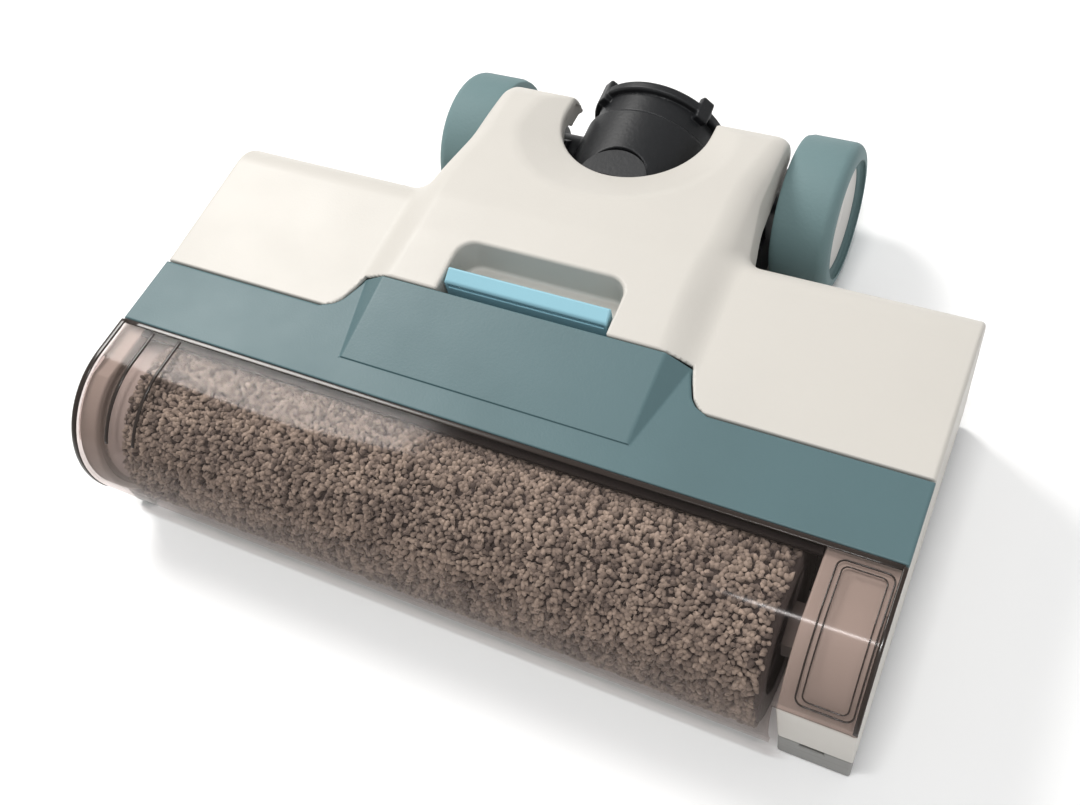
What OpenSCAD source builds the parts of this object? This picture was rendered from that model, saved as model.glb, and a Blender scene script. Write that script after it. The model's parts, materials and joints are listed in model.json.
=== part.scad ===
// Floor head of a wet dry floor scrubber.
// Microfibre roller under a clear window, driven by a belt; wheeled rear with a tilting neck.
// Front is -Y, up is +Z, the floor is z = 0. X runs along the roller.

/* [Overall] */
// Width across the two ends of the head
head_w = 296; // [250:1:360]
// Roller axis to the rear wall of the wings
wing_reach = 113; // [95:1:140]
// Wall of the white housing
shell_t = 2.4; // [1.6:0.1:3]
// Rise of the wing roof from its front edge to its crown
crown_rise = 3; // [1:0.5:6]
// Rise of the centre hump above the window top
hump_rise = 8.4; // [6:0.2:12]
// Half width of the centre hump where it leaves the wings
hump_half_w = 66; // [64:0.5:72]

/* [Roller] */
// Radius over the microfibre nap
nap_r = 33.4; // [28:0.2:38]
// Outer radius of the roller tube
core_r = 22; // [18:0.5:24]
// Wall of the roller tube
core_t = 2; // [1.5:0.1:3]
// Gap between nap and window
nap_gap = 0.5; // [0.3:0.1:2]
// Radius of the idle-end stub shaft
stub_r = 4; // [3:0.1:5]

/* [Cover] */
// Thickness of the clear window
window_t = 1.5; // [1.2:0.1:2.5]
// Height of the window's lower edge
window_low_z = 23; // [18:0.5:30]
// Roller axis to the front edge of the cover strip
strip_front = 16.3; // [10:0.1:22]
// Roller axis to the rear edge of the cover strip
strip_rear = 45.6; // [42:0.1:50]
// Thickness of the cover strip
cover_t = 2.2; // [1.6:0.1:3]
// Height of the nose ridge above the strip
nose_rise = 5.4; // [3:0.1:6.5]
// Clearance round the lift-off cover
cover_gap = 0.4; // [0.3:0.1:1]

/* [End blocks] */
// Width of the block at the idle end
block_w_left = 9.8; // [8:0.2:14]
// Width of the block over the belt
block_w_right = 24; // [22:0.5:32]

/* [Drive] */
// Radius of the pulley on the roller axis
large_pulley_r = 18; // [14:0.5:20]
// Radius of the pulley on the motor
small_pulley_r = 7.5; // [6:0.5:10]
// Width of the belt
belt_w = 7; // [5:0.5:8]
// Thickness of the belt
belt_t = 1.6; // [1:0.1:2]
// Radius of the motor can
motor_r = 17; // [14:0.5:18]
// Length of the motor can
motor_len = 58; // [45:1:65]
// Radius of the motor shaft
motor_shaft_r = 2.5; // [2:0.1:3]
// Radius of the drive shaft
drive_shaft_r = 4; // [3:0.1:5]

/* [Wheels] */
// Radius of a rear wheel
wheel_r = 30; // [26:0.5:34]
// Width of a rear wheel
wheel_w = 23.4; // [18:0.2:26]
// Roller axis to the wheel axle
axle_reach = 172.8; // [165:0.2:185]
// Radius of the fixed axles
axle_r = 4; // [3:0.1:5]
// Radius of the front caster rollers
caster_r = 6; // [5:0.2:7]

/* [Neck] */
// Outer radius of the neck barrel
barrel_r = 28.4; // [26:0.1:29]
// Inner radius of the neck barrel
barrel_bore_r = 23.7; // [20:0.1:24.5]
// Radius of the socket that takes the upper machine's tube
socket_r = 21; // [17:0.5:22]
// Lean of the neck from upright
recline = 82.6; // [60:0.2:88]
// Radius of the tilt pins
tilt_pin_r = 4; // [3:0.1:5]
// Radial clearance of every turning fit
fit = 0.06; // [0.03:0.01:0.1]

/* [Hidden] */
$fn = 96;

half_w = head_w / 2;
roller_z = nap_r + 0.2;
window_in_r = nap_r + nap_gap;
window_r = window_in_r + window_t;
strip_z = roller_z + window_r;
depth_mid = (axle_reach + wheel_r - window_r) / 2;

// heights of the lower edges
housing_low = 10;
plate_low = 2.2;
plate_t = 2.4;
plate_rim = housing_low - 0.3;

rim_w = 1.5;
rim_depth = 4;
block_in_right = half_w - block_w_right;
block_in_left = -half_w + block_w_left;
block_face_low = 49.4;
foot_front = 28.5;
foot_top = 15.5;
foot_lip = 5;
face_front = 31.4;
block_wall = 2.4;
nap_x0 = block_in_left + 11.2;
nap_x1 = block_in_right - 6;
end_disc_r = nap_r - 4;
dog_r = 9;

crown_y = wing_reach - 14;
wing_round = 14;
crown_z = strip_z + crown_rise;
hump_top = strip_z + hump_rise;
hump_front = strip_rear + 16.4;
horn_rear = axle_reach + 10.2;
horn_half_w = 60.6;
nose_front = 27.9;
nose_half_w = 55.2;
flare_half_w = hump_half_w - 2;

notch_r = 30.5;
notch_y = axle_reach - 2.8;
notch_wall_low = 62;
horn_wall_low = 48;
skirt_front_z = 42;
skirt_rear_z = 52;
dish_r = 43;
dish_y = axle_reach - 11.8;
pocket_half_w = 33;
pocket_rear = hump_front + 22.4;
pocket_floor = strip_z - 6.6;
latch_y = hump_front + 3.9;
latch_travel = 3.5;
latch_d = 5.3;
latch_half_w = 32;

chamber_in_r = window_r + 1.2;
chamber_t = 2;
chamber_r = chamber_in_r + chamber_t;
mouth_half_w = 26;
duct_low = 10;
duct_high = 34;
duct_wall = 2;
duct_rear = 126;
hose_z = 22.5;
hose_in_r = 9;
hose_start = 4.6;
hose_len = 21;
water_x = -36;
water_z = strip_z - 8;
water_tube_r = 2.4;
ledge_z = strip_z - cover_t - 0.4;

motor_y = 80;
motor_z = 38;
motor_x0 = 40;
bracket_x = motor_x0 + motor_len + 0.2;
bracket_t = 3;
motor_screw_reach = 10;
belt_x = half_w - 16;
belt_gap = 0.05;

wheel_in = 62.4;
axle_z = wheel_r;
tyre_in_r = wheel_r - 5.4;
tyre_shoulder = 3.6;
caster_x = 96;
caster_y = strip_rear + 10;
caster_w = 12;
caster_pin_r = 1.5;
caster_pin_half = 9;
tilt_y = 168;
tilt_z = 36.9;
barrel_low = -22;
barrel_top = 10.3;
barrel_ball_r = 33;
collar_s = 19.7;
collar_end = 23.9;
collar_r = 29.4;
band_r = 26.6;
socket_stop = 4;
seat_r = 14.8;
seat_sink = 2.4;
clip_s = -3.4;
contact_x = [-3.6, 0, 3.6];
contact_r = 0.9;
contact_reach = socket_r - 6;
sleeve_r = barrel_bore_r - fit;
bracket_in = 40;
bracket_out = 58;
// screws up through the base plate into the housing's bosses
boss_spots = [[-120, 60], [-56, 102.4], [56, 102.4], [-120, 101], [115, 102], [112, 57]];
boss_r = 4;
screw_r = 1.6;
screw_head_r = 3.2;
screw_head_h = 1.8;
axle_seat = bracket_out - 9;
pin_seat = bracket_in + 8;

// The part's origin is on the floor under the middle of the whole head.
module place() {
  translate([0, -depth_mid, 0]) children();
}

// Extrudes a (y, z) outline along x.
module along_x(x0, x1) {
  translate([x0, 0, 0]) rotate([90, 0, 90]) linear_extrude(x1 - x0) children();
}

// Round bar along x at (y, z).
module bar_x(r, x0, x1, y, z) {
  translate([x0, y, z]) rotate([0, 90, 0]) cylinder(r = r, h = x1 - x0);
}

module ring_x(r_out, r_in, x0, x1, y, z) {
  difference() {
    bar_x(r_out, x0, x1, y, z);
    bar_x(r_in, x0 - 1, x1 + 1, y, z);
  }
}

// Box from its low corner to its high corner.
module block(low, high) {
  translate(low) cube(high - low);
}

// Frame of the neck: z runs up the neck from the tilt axis, -y faces up and forward.
module neck_frame() {
  translate([0, tilt_y, tilt_z]) rotate([-recline, 0, 0]) children();
}

// Tube of straight round pieces with ball corners.
module routed(points, r) {
  for (i = [0 : len(points) - 2]) {
    step = points[i + 1] - points[i];
    span = norm(step);
    translate(points[i])
      rotate([0, acos(step[2] / span), atan2(step[1], step[0])])
        cylinder(r = r, h = span, $fn = 24);
  }
  for (i = [1 : len(points) - 2]) translate(points[i]) sphere(r = r + 0.25, $fn = 24);
}

// ---- housings ----

// Wing section, inset by t.
module wing_outline(t) {
  polygon([
    [strip_rear + cover_gap + t, housing_low - 2 * t],
    [strip_rear + cover_gap + t, strip_z - t],
    [crown_y, crown_z - t],
    [crown_y, housing_low - 2 * t]
  ]);
  translate([crown_y, crown_z - wing_round]) circle(r = wing_round - t);
  translate([crown_y, housing_low - 2 * t])
    square([wing_round - t, crown_z - wing_round - housing_low + 2 * t]);
}

// Side view of the hump, inset by t.
module hump_side(t) {
  polygon([
    [hump_front + t, housing_low - 2 * t],
    [hump_front + t, strip_z + nose_rise + 0.3 - t],
    [hump_front + 22, hump_top - 0.4 - t],
    [hump_front + 40, hump_top - t],
    [hump_front + 60, hump_top - 1.8 - t],
    [horn_rear - 34, strip_z + 2.6 - t],
    [horn_rear - 11 - t, strip_z - 1.4 - t],
    [horn_rear - 4 - t, strip_z - 6 - t],
    [horn_rear - t, strip_z - 14 - t],
    [horn_rear - t, housing_low - 2 * t]
  ]);
}

// Plan view of the hump; the high one is narrower, so the flanks lean in.
module hump_plan(t, lean) {
  side = [
    [flare_half_w - lean * 1.5 - t, hump_front - 2],
    [hump_half_w - lean * 1.5 - t, wing_reach - 3],
    [horn_half_w - lean * 0.4 - t, axle_reach - wheel_r - 2],
    [horn_half_w - lean * 0.4 - t, horn_rear - 3],
    [horn_half_w - 3 - lean * 0.4 - t, horn_rear + 1]
  ];
  polygon(concat(side, [for (i = [len(side) - 1 : -1 : 0]) [-side[i][0], side[i][1]]]));
}

module hump_solid(t) {
  intersection() {
    along_x(-hump_half_w - 5, hump_half_w + 5) hump_side(t);
    union() {
      linear_extrude(strip_z - 4) hump_plan(t, 0);
      hull() {
        translate([0, 0, strip_z - 4.01]) linear_extrude(0.01) hump_plan(t, 0);
        translate([0, 0, hump_top]) linear_extrude(0.01) hump_plan(t, 6);
      }
    }
  }
}

// Wall round the notch; it hangs lower along the horns than in front of the neck.
module notch_wall() {
  translate([0, 0, notch_wall_low]) linear_extrude(60) notch_plan(shell_t);
  intersection() {
    translate([0, 0, horn_wall_low]) linear_extrude(60) notch_plan(shell_t);
    block([-hump_half_w, notch_y - 12, 0], [hump_half_w, notch_y + 60, 200]);
  }
}

module notch_plan(grow) {
  translate([0, notch_y]) circle(r = notch_r + grow);
  translate([-notch_r - grow, notch_y]) square([2 * (notch_r + grow), 40]);
}

// Plan of the lift-off cover, grown by gap.
module cover_plan(gap) {
  side = [
    [half_w + gap, strip_front - gap],
    [half_w + gap, strip_rear + gap],
    [flare_half_w + 11 + gap, strip_rear + gap],
    [flare_half_w + 7 + gap, strip_rear + 1.2 + gap],
    [flare_half_w + 4.5 + gap, strip_rear + 4.5 + gap],
    [flare_half_w + 2 + gap, strip_rear + 10.5 + gap],
    [flare_half_w + gap, hump_front - cover_gap + gap]
  ];
  polygon(concat(side, [for (i = [len(side) - 1 : -1 : 0]) [-side[i][0], side[i][1]]]));
}

module rounded_pocket(low_y, high_y, half, r) {
  translate([-half, low_y]) square([2 * half, high_y - low_y - r]);
  translate([-half + r, low_y]) square([2 * half - 2 * r, high_y - low_y]);
  for (s = [-1, 1]) translate([s * (half - r), high_y - r]) circle(r = r);
}

module upper_housing() {
  color("ghostwhite") place() difference() {
    union() {
      difference() {
        union() {
          along_x(-half_w, half_w) wing_outline(0);
          hump_solid(0);
        }
        along_x(-half_w + shell_t, half_w - shell_t) wing_outline(shell_t);
        difference() {
          hump_solid(shell_t);
          dish(shell_t);
          notch_wall();
        }
      }
      // deck under the cover's nose
      block([-flare_half_w, strip_rear + cover_gap, ledge_z - shell_t],
        [flare_half_w, hump_front + 1, ledge_z]);
      // walls of the finger pocket
      translate([0, 0, pocket_floor - shell_t])
        linear_extrude(strip_z + 4 - pocket_floor)
          rounded_pocket(hump_front + 0.5, pocket_rear + shell_t, pocket_half_w + shell_t, 8);
      for (p = boss_spots) {
        boss_rise = abs(p[0]) < hump_half_w ? 3.6 : 0.2;
        translate([p[0], p[1], housing_low]) cylinder(r = boss_r, h = strip_z + boss_rise - housing_low);
      }
    }
    translate([0, 0, ledge_z]) linear_extrude(60) cover_plan(cover_gap);
    translate([0, 0, housing_low - 1]) linear_extrude(100) notch_plan(0);
    dish(0);
    skirt_cut();
    translate([0, 0, pocket_floor]) linear_extrude(40)
      rounded_pocket(hump_front - 1, pocket_rear, pocket_half_w, 7);
    latch_well();
    belt_window();
    side_openings();
    for (p = boss_spots)
      translate([p[0], p[1], housing_low - 1]) cylinder(r = screw_r, h = 12, $fn = 32);
    translate([-70, wing_reach - 40, -1]) cube([140, 90, housing_low + 4]);
  }
}

// Soft dished chamfer round the notch, lowered by t. It leans with the roof.
module dish(t) {
  dish_depth = 4.5;
  dish_slope = 4.2;
  translate([0, dish_y, strip_z + 0.3 - t]) rotate([-9, 0, 0])
    translate([0, 0, -dish_depth])
      cylinder(r1 = dish_r - dish_depth * dish_slope, r2 = dish_r + 6 * dish_slope, h = dish_depth + 6);
}

// The skirt of the hump rises from the wings to the rear of the horns.
module skirt_cut() {
  along_x(-hump_half_w - 5, hump_half_w + 5)
    polygon([
      [wing_reach + 1, -1],
      [wing_reach + 1, skirt_front_z],
      [horn_rear - 8, skirt_rear_z],
      [horn_rear + 5, skirt_rear_z],
      [horn_rear + 5, -1]
    ]);
}

// Slot in which the latch bar slides.
module latch_well() {
  block([-latch_half_w - 1, hump_front - 0.5, ledge_z - 12],
    [latch_half_w + 1, latch_y + latch_d + latch_travel + 0.6, ledge_z + 20]);
}

module belt_window() {
  block([block_in_right + 2.4, strip_rear - 1, housing_low + 2],
    [half_w - shell_t, strip_rear + 6, ledge_z - 2.4]);
}

// Room for the suction duct, the water tube and the axles.
module side_openings() {
  translate([water_x, strip_rear - 5, water_z]) rotate([-90, 0, 0])
    cylinder(r = water_tube_r + 0.5, h = 12);
  block([-mouth_half_w - duct_wall - 1, strip_rear - 5, -1],
    [mouth_half_w + duct_wall + 1, strip_rear + 8, duct_high + 2]);
  bar_x(axle_r + 1.5, -80, 80, axle_reach, axle_z);
}

module base_plate() {
  side_gap = 0.4;
  arm_half_w = 10;
  arm_mid = (bracket_in + bracket_out) / 2;
  color("dimgray") place() difference() {
    union() {
      block([-half_w + side_gap, chamber_r - 2.8, plate_low],
        [half_w - side_gap, wing_reach - side_gap, plate_rim]);
      block([-half_w + side_gap, -28, plate_low], [block_in_left, chamber_r, plate_rim]);
      block([-horn_half_w + 0.6, wing_reach - 2, plate_low],
        [horn_half_w - 0.6, wing_reach + 14, plate_rim]);
      for (s = [-1, 1])
        block([s * arm_mid - arm_half_w, wing_reach, plate_low],
          [s * arm_mid + arm_half_w, horn_rear - 1, plate_rim]);
    }
    plate_hollow();
    block([block_in_right - 0.3, -40, -1], [half_w + 1, strip_rear - 0.5, plate_rim + 1]);
    for (s = [-1, 1]) {
      caster_well(s * caster_x);
      caster_pin(s * caster_x);
    }
    for (p = boss_spots) translate([p[0], p[1], -1]) {
      cylinder(r = screw_r + 0.2, h = plate_rim + 3, $fn = 32);
      cylinder(r = screw_head_r + 0.3, h = plate_low + screw_head_h + 1.2, $fn = 48);
    }
  }
}

// The plate is a tray with a post round each screw.
module plate_hollow() {
  rim = 2.6;
  floor_z = plate_low + plate_t;
  difference() {
    union() {
      block([-half_w + rim + 0.4, chamber_r + 1, floor_z],
        [half_w - rim - 0.4, wing_reach - 3, plate_rim + 1]);
      block([-horn_half_w + rim + 0.4, wing_reach - 5, floor_z],
        [horn_half_w - rim - 0.4, wing_reach + 11, plate_rim + 1]);
    }
    for (p = boss_spots) translate([p[0], p[1], 0]) cylinder(r = screw_head_r + 1.8, h = plate_rim);
  }
}

module caster_pin(x) {
  bar_x(caster_pin_r, x - caster_pin_half, x + caster_pin_half, caster_y, caster_r);
}

module caster_well(x) {
  block([x - caster_w / 2 - 1, caster_y - caster_r - 1.5, -1],
    [x + caster_w / 2 + 1, caster_y + caster_r + 1.5, 20]);
}

module caster(x) {
  color("gray") place() difference() {
    bar_x(caster_r, x - caster_w / 2, x + caster_w / 2, caster_y, caster_r);
    bar_x(caster_pin_r + fit, x - caster_w, x + caster_w, caster_y, caster_r);
  }
}

module caster_left() {
  caster(-caster_x);
}

module caster_right() {
  caster(caster_x);
}

// The pins lie in the side walls of their wells, each end under a small saddle.
module caster_pins() {
  saddle_x = caster_pin_half - 0.5;
  color("silver") place()
    for (s = [-1, 1]) {
      caster_pin(s * caster_x);
      for (e = [-1, 1])
        translate([s * caster_x + e * saddle_x, caster_y, 0])
          block([-1.3, -3, plate_low + plate_t], [1.3, 3, caster_r + 3]);
    }
}

// Section of an end block, inset by t; the front is round like the window.
module block_outline(r, t) {
  intersection() {
    union() {
      translate([0, roller_z]) circle(r = r - t);
      translate([0, housing_low + t]) square([strip_rear - 0.3, ledge_z - 0.2 - housing_low - 2 * t]);
    }
    translate([-50, housing_low + t]) square([50 + strip_rear - 0.3, ledge_z - 0.2 - housing_low - 2 * t]);
  }
}

module end_block_left() {
  inner = window_in_r - 0.3;
  color("white") place() difference() {
    union() {
      along_x(-half_w + rim_w + 0.2, block_in_left) block_outline(inner, 0);
      along_x(-half_w + 0.1, -half_w + rim_w + 0.3) block_outline(window_r - rim_depth - 0.4, 0);
    }
    bar_x(stub_r + 4, block_in_left - 6, block_in_left + 1, 0, roller_z);
    // three shallow ribs between grooves on the inner face
    for (k = [0 : 2])
      ring_x(31 - 5 * k, 28.6 - 5 * k, block_in_left - 1, block_in_left + 1, 0, roller_z);
  }
}

// Section of the belt block: below the window its front is flat, leans back and ends on the foot.
module belt_block_reach() {
  seat = foot_top + 0.3;
  seat_rear = -foot_front + foot_lip + 0.3;
  polygon([
    [-window_r, strip_z],
    [-window_r, block_face_low],
    [-face_front, block_face_low],
    [-foot_front, seat],
    [seat_rear, seat],
    [seat_rear, 0],
    [strip_rear, 0],
    [strip_rear, strip_z]
  ]);
}

module belt_block_room() {
  front = -foot_front + block_wall;
  seat = foot_top + block_wall;
  intersection() {
    block_outline(window_in_r - 3, block_wall - 0.2);
    polygon([
      [front, strip_z],
      [front, seat],
      [front + foot_lip, seat],
      [front + foot_lip, 0],
      [strip_rear, 0],
      [strip_rear, strip_z]
    ]);
  }
}

module end_block_right() {
  inner = window_in_r - 0.3;
  color("white") place() difference() {
    intersection() {
      union() {
        along_x(block_in_right, half_w - rim_w - 0.2) block_outline(inner, 0);
        along_x(half_w - rim_w - 0.3, half_w - 0.1) block_outline(window_r - rim_depth - 0.4, 0);
        // front face that shows under the window
        intersection() {
          along_x(block_in_right, half_w) block_outline(window_r, 0);
          block([0, -60, 0], [200, -8, block_face_low]);
        }
      }
      along_x(block_in_right - 1, half_w + 1) belt_block_reach();
    }
    along_x(block_in_right + block_wall, half_w - block_wall) {
      belt_block_room();
      translate([5, housing_low + block_wall]) square([50, ledge_z - housing_low - 5]);
    }
    bar_x(drive_shaft_r + 4.5, block_in_right - 1, block_in_right + 4, 0, roller_z);
  }
}

// Foot under the belt block, with a finger slot in the top of its raised front.
module end_foot_right() {
  slot_x0 = block_in_right + 7;
  slot_x1 = half_w - 9;
  low = plate_low - 1.2;
  outer_x = half_w - 0.3;
  color("gray") place() difference() {
    union() {
      block([block_in_right, -foot_front, low], [outer_x, strip_rear - 1, housing_low - 0.2]);
      block([block_in_right, -foot_front, low], [outer_x, -foot_front + foot_lip, foot_top]);
    }
    block([slot_x0, -foot_front - 1, foot_top - 2.6], [slot_x1, -foot_front + 3, foot_top + 1]);
    block([block_in_right + 3, -foot_front + 6.5, -1], [half_w - 3, strip_rear - 5, plate_low + 2]);
  }
}

// ---- roller chamber ----

module chamber_ring() {
  intersection() {
    difference() {
      translate([0, roller_z]) circle(r = chamber_r);
      translate([0, roller_z]) circle(r = chamber_in_r);
    }
    polygon([[0, roller_z], [60, roller_z - 60], [60, roller_z + 92], [0, roller_z]]);
  }
}

module roller_chamber() {
  ledge_front = chamber_in_r * sin(33);
  color("darkslategray") place() difference() {
    union() {
      along_x(block_in_left + 0.2, block_in_right - 0.2) chamber_ring();
      block([block_in_left + 0.2, ledge_front, ledge_z - 2.4],
        [block_in_right - 0.2, strip_rear - 0.2, ledge_z - 0.2]);
      block([block_in_left + 0.2, chamber_r - 2, ledge_z - 28],
        [block_in_right - 0.2, strip_rear - 0.2, ledge_z - 26]);
    }
    bar_x(chamber_in_r, -200, 200, 0, roller_z);
    block([-mouth_half_w, 10, duct_low + duct_wall], [mouth_half_w, 60, duct_high - duct_wall]);
  }
}

module scraper_blade() {
  color("black") place() translate([0, 0, roller_z]) rotate([38, 0, 0])
    block([nap_x0 + 2, nap_r + 0.4, -0.7], [nap_x1 - 2, chamber_in_r - 0.1, 0.7]);
}

module rear_squeegee() {
  color("black") place() difference() {
    block([nap_x0 + 6, chamber_r - 5.6, 0], [nap_x1 - 6, chamber_r - 2.8, 8]);
    for (k = [-6 : 5]) block([k * 18 + 6, chamber_r - 6, -1], [k * 18 + 10, chamber_r - 4.2, 2.4]);
  }
}

module spray_bar() {
  color("lightgray") place() difference() {
    block([-108, 31.5, ledge_z - 7.6], [108, 37.5, ledge_z - 2.6]);
    bar_x(1.6, -106, 106, 34.5, ledge_z - 5);
    for (k = [-10 : 10]) translate([k * 10, 33, ledge_z - 8]) cylinder(r = 0.6, h = 3, $fn = 24);
  }
}

module water_tube() {
  color("lightblue") place()
    routed([
      [water_x, 37.6, water_z],
      [water_x, 54, water_z],
      [water_x, 66, water_z - 9],
      [water_x, 110, water_z - 9],
      [water_x, 124, water_z - 17]
    ], water_tube_r);
}

module suction_duct() {
  color("gray") place() difference() {
    union() {
      block([-mouth_half_w - duct_wall, chamber_r + 0.2, duct_low],
        [mouth_half_w + duct_wall, duct_rear, duct_high]);
      hose_frame() cylinder(r = hose_in_r - 0.2, h = 9);
    }
    block([-mouth_half_w, 30, duct_low + duct_wall],
      [mouth_half_w, duct_rear - duct_wall, duct_high - duct_wall]);
    hose_frame() translate([0, 0, -12]) cylinder(r = hose_in_r - 1.8, h = 30);
  }
}

// Frame of the hose: z runs from the end of the duct towards the tilt axis.
module hose_frame() {
  translate([0, duct_rear, hose_z])
    rotate([atan2(tilt_z - hose_z, tilt_y - duct_rear) - 90, 0, 0]) children();
}

// Corrugated hose from the duct to the neck.
module bellows_hose() {
  color("black") place() hose_frame() translate([0, 0, hose_start]) difference() {
    union() {
      cylinder(r = hose_in_r + 1.4, h = hose_len);
      for (k = [0 : 5]) translate([0, 0, 1 + k * 3.4]) cylinder(r = hose_in_r + 2.8, h = 1.8);
    }
    translate([0, 0, -1]) cylinder(r = hose_in_r, h = hose_len + 2);
  }
}

// ---- drive ----

// Bar along x where a motor screw sits, in front of or behind the shaft.
module motor_screw_bar(r, x0, x1, side) {
  bar_x(r, x0, x1, motor_y + side * motor_screw_reach, motor_z);
}

module motor_can() {
  color("silver") place() difference() {
    union() {
      bar_x(motor_r, motor_x0, motor_x0 + motor_len, motor_y, motor_z);
      bar_x(6, motor_x0 - 3, motor_x0 + 1, motor_y, motor_z);
    }
    bar_x(motor_shaft_r + 0.3, motor_x0 + 10, motor_x0 + motor_len + 1, motor_y, motor_z);
    for (side = [-1, 1])
      motor_screw_bar(1.2, motor_x0 + motor_len - 8, motor_x0 + motor_len + 1, side);
  }
}

module motor_bracket() {
  color("slategray") place() difference() {
    union() {
      block([bracket_x, motor_y - 16, plate_low + plate_t],
        [bracket_x + bracket_t, motor_y + 16, motor_z + 18]);
      block([bracket_x - 26, motor_y - 16, plate_low + plate_t],
        [bracket_x, motor_y + 16, plate_low + plate_t + 2.4]);
    }
    bar_x(motor_shaft_r + 1.5, bracket_x - 1, bracket_x + 5, motor_y, motor_z);
    for (side = [-1, 1]) motor_screw_bar(1.6, bracket_x - 1, bracket_x + 5, side);
  }
}

module motor_screws() {
  color("silver") place()
    for (side = [-1, 1]) {
      motor_screw_bar(1.2, bracket_x - 6, bracket_x + bracket_t, side);
      motor_screw_bar(2.6, bracket_x + bracket_t, bracket_x + bracket_t + 1.8, side);
    }
}

module motor_shaft() {
  color("silver") place() bar_x(motor_shaft_r, motor_x0 + 12, belt_x + 5, motor_y, motor_z);
}

module pulley(r, bore_r, y, z) {
  flange = 1.2;
  difference() {
    union() {
      bar_x(r, belt_x - belt_w / 2 - 0.2, belt_x + belt_w / 2 + 0.2, y, z);
      bar_x(r + belt_t + 0.8, belt_x - belt_w / 2 - 0.2 - flange, belt_x - belt_w / 2 - 0.2, y, z);
      bar_x(r + belt_t + 0.8, belt_x + belt_w / 2 + 0.2, belt_x + belt_w / 2 + 0.2 + flange, y, z);
    }
    bar_x(bore_r, belt_x - 20, belt_x + 20, y, z);
  }
}

module small_pulley() {
  color("darkslategray") place() pulley(small_pulley_r, motor_shaft_r, motor_y, motor_z);
}

module large_pulley() {
  color("darkslategray") place() pulley(large_pulley_r, drive_shaft_r, 0, roller_z);
}

function arc_points(x, r, from, to, steps) =
  [for (i = [0 : steps]) let (a = from + (to - from) * i / steps) [x + r * cos(a), r * sin(a)]];

// Outline round both pulleys, grown by g.
module belt_outline(g) {
  span = norm([motor_y, motor_z - roller_z]);
  r1 = large_pulley_r + g;
  r2 = small_pulley_r + g;
  swing = acos((r1 - r2) / span);
  lean = atan2(motor_z - roller_z, motor_y);
  translate([0, roller_z]) rotate(lean)
    polygon(concat(
      arc_points(0, r1, swing, 360 - swing, 60),
      arc_points(span, r2, -swing, swing, 40)
    ));
}

module drive_belt() {
  color("black") place() along_x(belt_x - belt_w / 2, belt_x + belt_w / 2) difference() {
    belt_outline(belt_gap + belt_t);
    belt_outline(belt_gap);
  }
}

module drive_shaft() {
  color("silver") place() bar_x(drive_shaft_r, block_in_right - 5, belt_x + 6, 0, roller_z);
}

// Six-sided dog that plugs into the roller.
module drive_coupling() {
  color("dimgray") place() difference() {
    translate([block_in_right - 16, 0, roller_z]) rotate([0, 90, 0]) cylinder(r = dog_r, h = 15, $fn = 6);
    bar_x(drive_shaft_r, block_in_right - 5, block_in_right + 1, 0, roller_z);
  }
}

module drive_bearing() {
  color("silver") place()
    ring_x(drive_shaft_r + 4.5, drive_shaft_r + fit, block_in_right + 0.2, block_in_right + 2.9, 0, roller_z);
}

module stub_bearing() {
  color("silver") place()
    ring_x(stub_r + 4, stub_r + fit, block_in_left - 5.8, block_in_left - 0.6, 0, roller_z);
}

// ---- roller ----

module roller_core() {
  color("lightgray") place() ring_x(core_r, core_r - core_t, nap_x0, nap_x1, 0, roller_z);
}

module roller_nap() {
  color("rosybrown") place() ring_x(nap_r, core_r, nap_x0, nap_x1, 0, roller_z);
}

module roller_drive_plug() {
  color("gray") place() difference() {
    bar_x(core_r - core_t, nap_x1 - 16, nap_x1, 0, roller_z);
    translate([nap_x1 - 12, 0, roller_z]) rotate([0, 90, 0]) cylinder(r = dog_r, h = 14, $fn = 6);
  }
}

// White plug at the idle end, with a broad disc and the stub that turns in its bush.
module roller_end_cap() {
  disc_x = block_in_left + 1;
  color("white") place() {
    bar_x(core_r - core_t, nap_x0, nap_x0 + 12, 0, roller_z);
    bar_x(end_disc_r, disc_x, nap_x0, 0, roller_z);
    bar_x(stub_r, block_in_left - 5.6, disc_x, 0, roller_z);
  }
}

// ---- cover ----

// Nose wedge, inset by t; its top slopes down to the front.
module nose_solid(t) {
  hull() {
    translate([-nose_half_w - 0.8 + 1.5 * t, nose_front + 3 * t, strip_z - 0.02])
      cube([2 * nose_half_w + 1.6 - 3 * t, 0.02, 0.02]);
    translate([0, hump_front - cover_gap - t, 0]) rotate([90, 0, 0]) linear_extrude(0.02)
      polygon([
        [-flare_half_w + 1.4 * t, strip_z - 0.02],
        [flare_half_w - 1.4 * t, strip_z - 0.02],
        [nose_half_w - t, strip_z + nose_rise - t],
        [-nose_half_w + t, strip_z + nose_rise - t]
      ]);
  }
}

module cover_shell() {
  color("cadetblue") place() difference() {
    union() {
      translate([0, 0, strip_z - cover_t]) linear_extrude(cover_t) cover_plan(0);
      nose_solid(0);
    }
    nose_solid(cover_t);
    translate([-flare_half_w + 5, nose_front + 3 * cover_t, strip_z - cover_t - 1])
      cube([2 * flare_half_w - 10, hump_front - nose_front - 4 * cover_t - cover_gap, cover_t + 1]);
  }
}

// Quarter of the window from its crown round to a lower edge.
module window_arc(x0, x1, r_out, r_in, low) {
  intersection() {
    ring_x(r_out, r_in, x0, x1, 0, roller_z);
    block([x0 - 1, -window_r - 1, low], [x1 + 1, 0, strip_z + 1]);
  }
}

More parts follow.
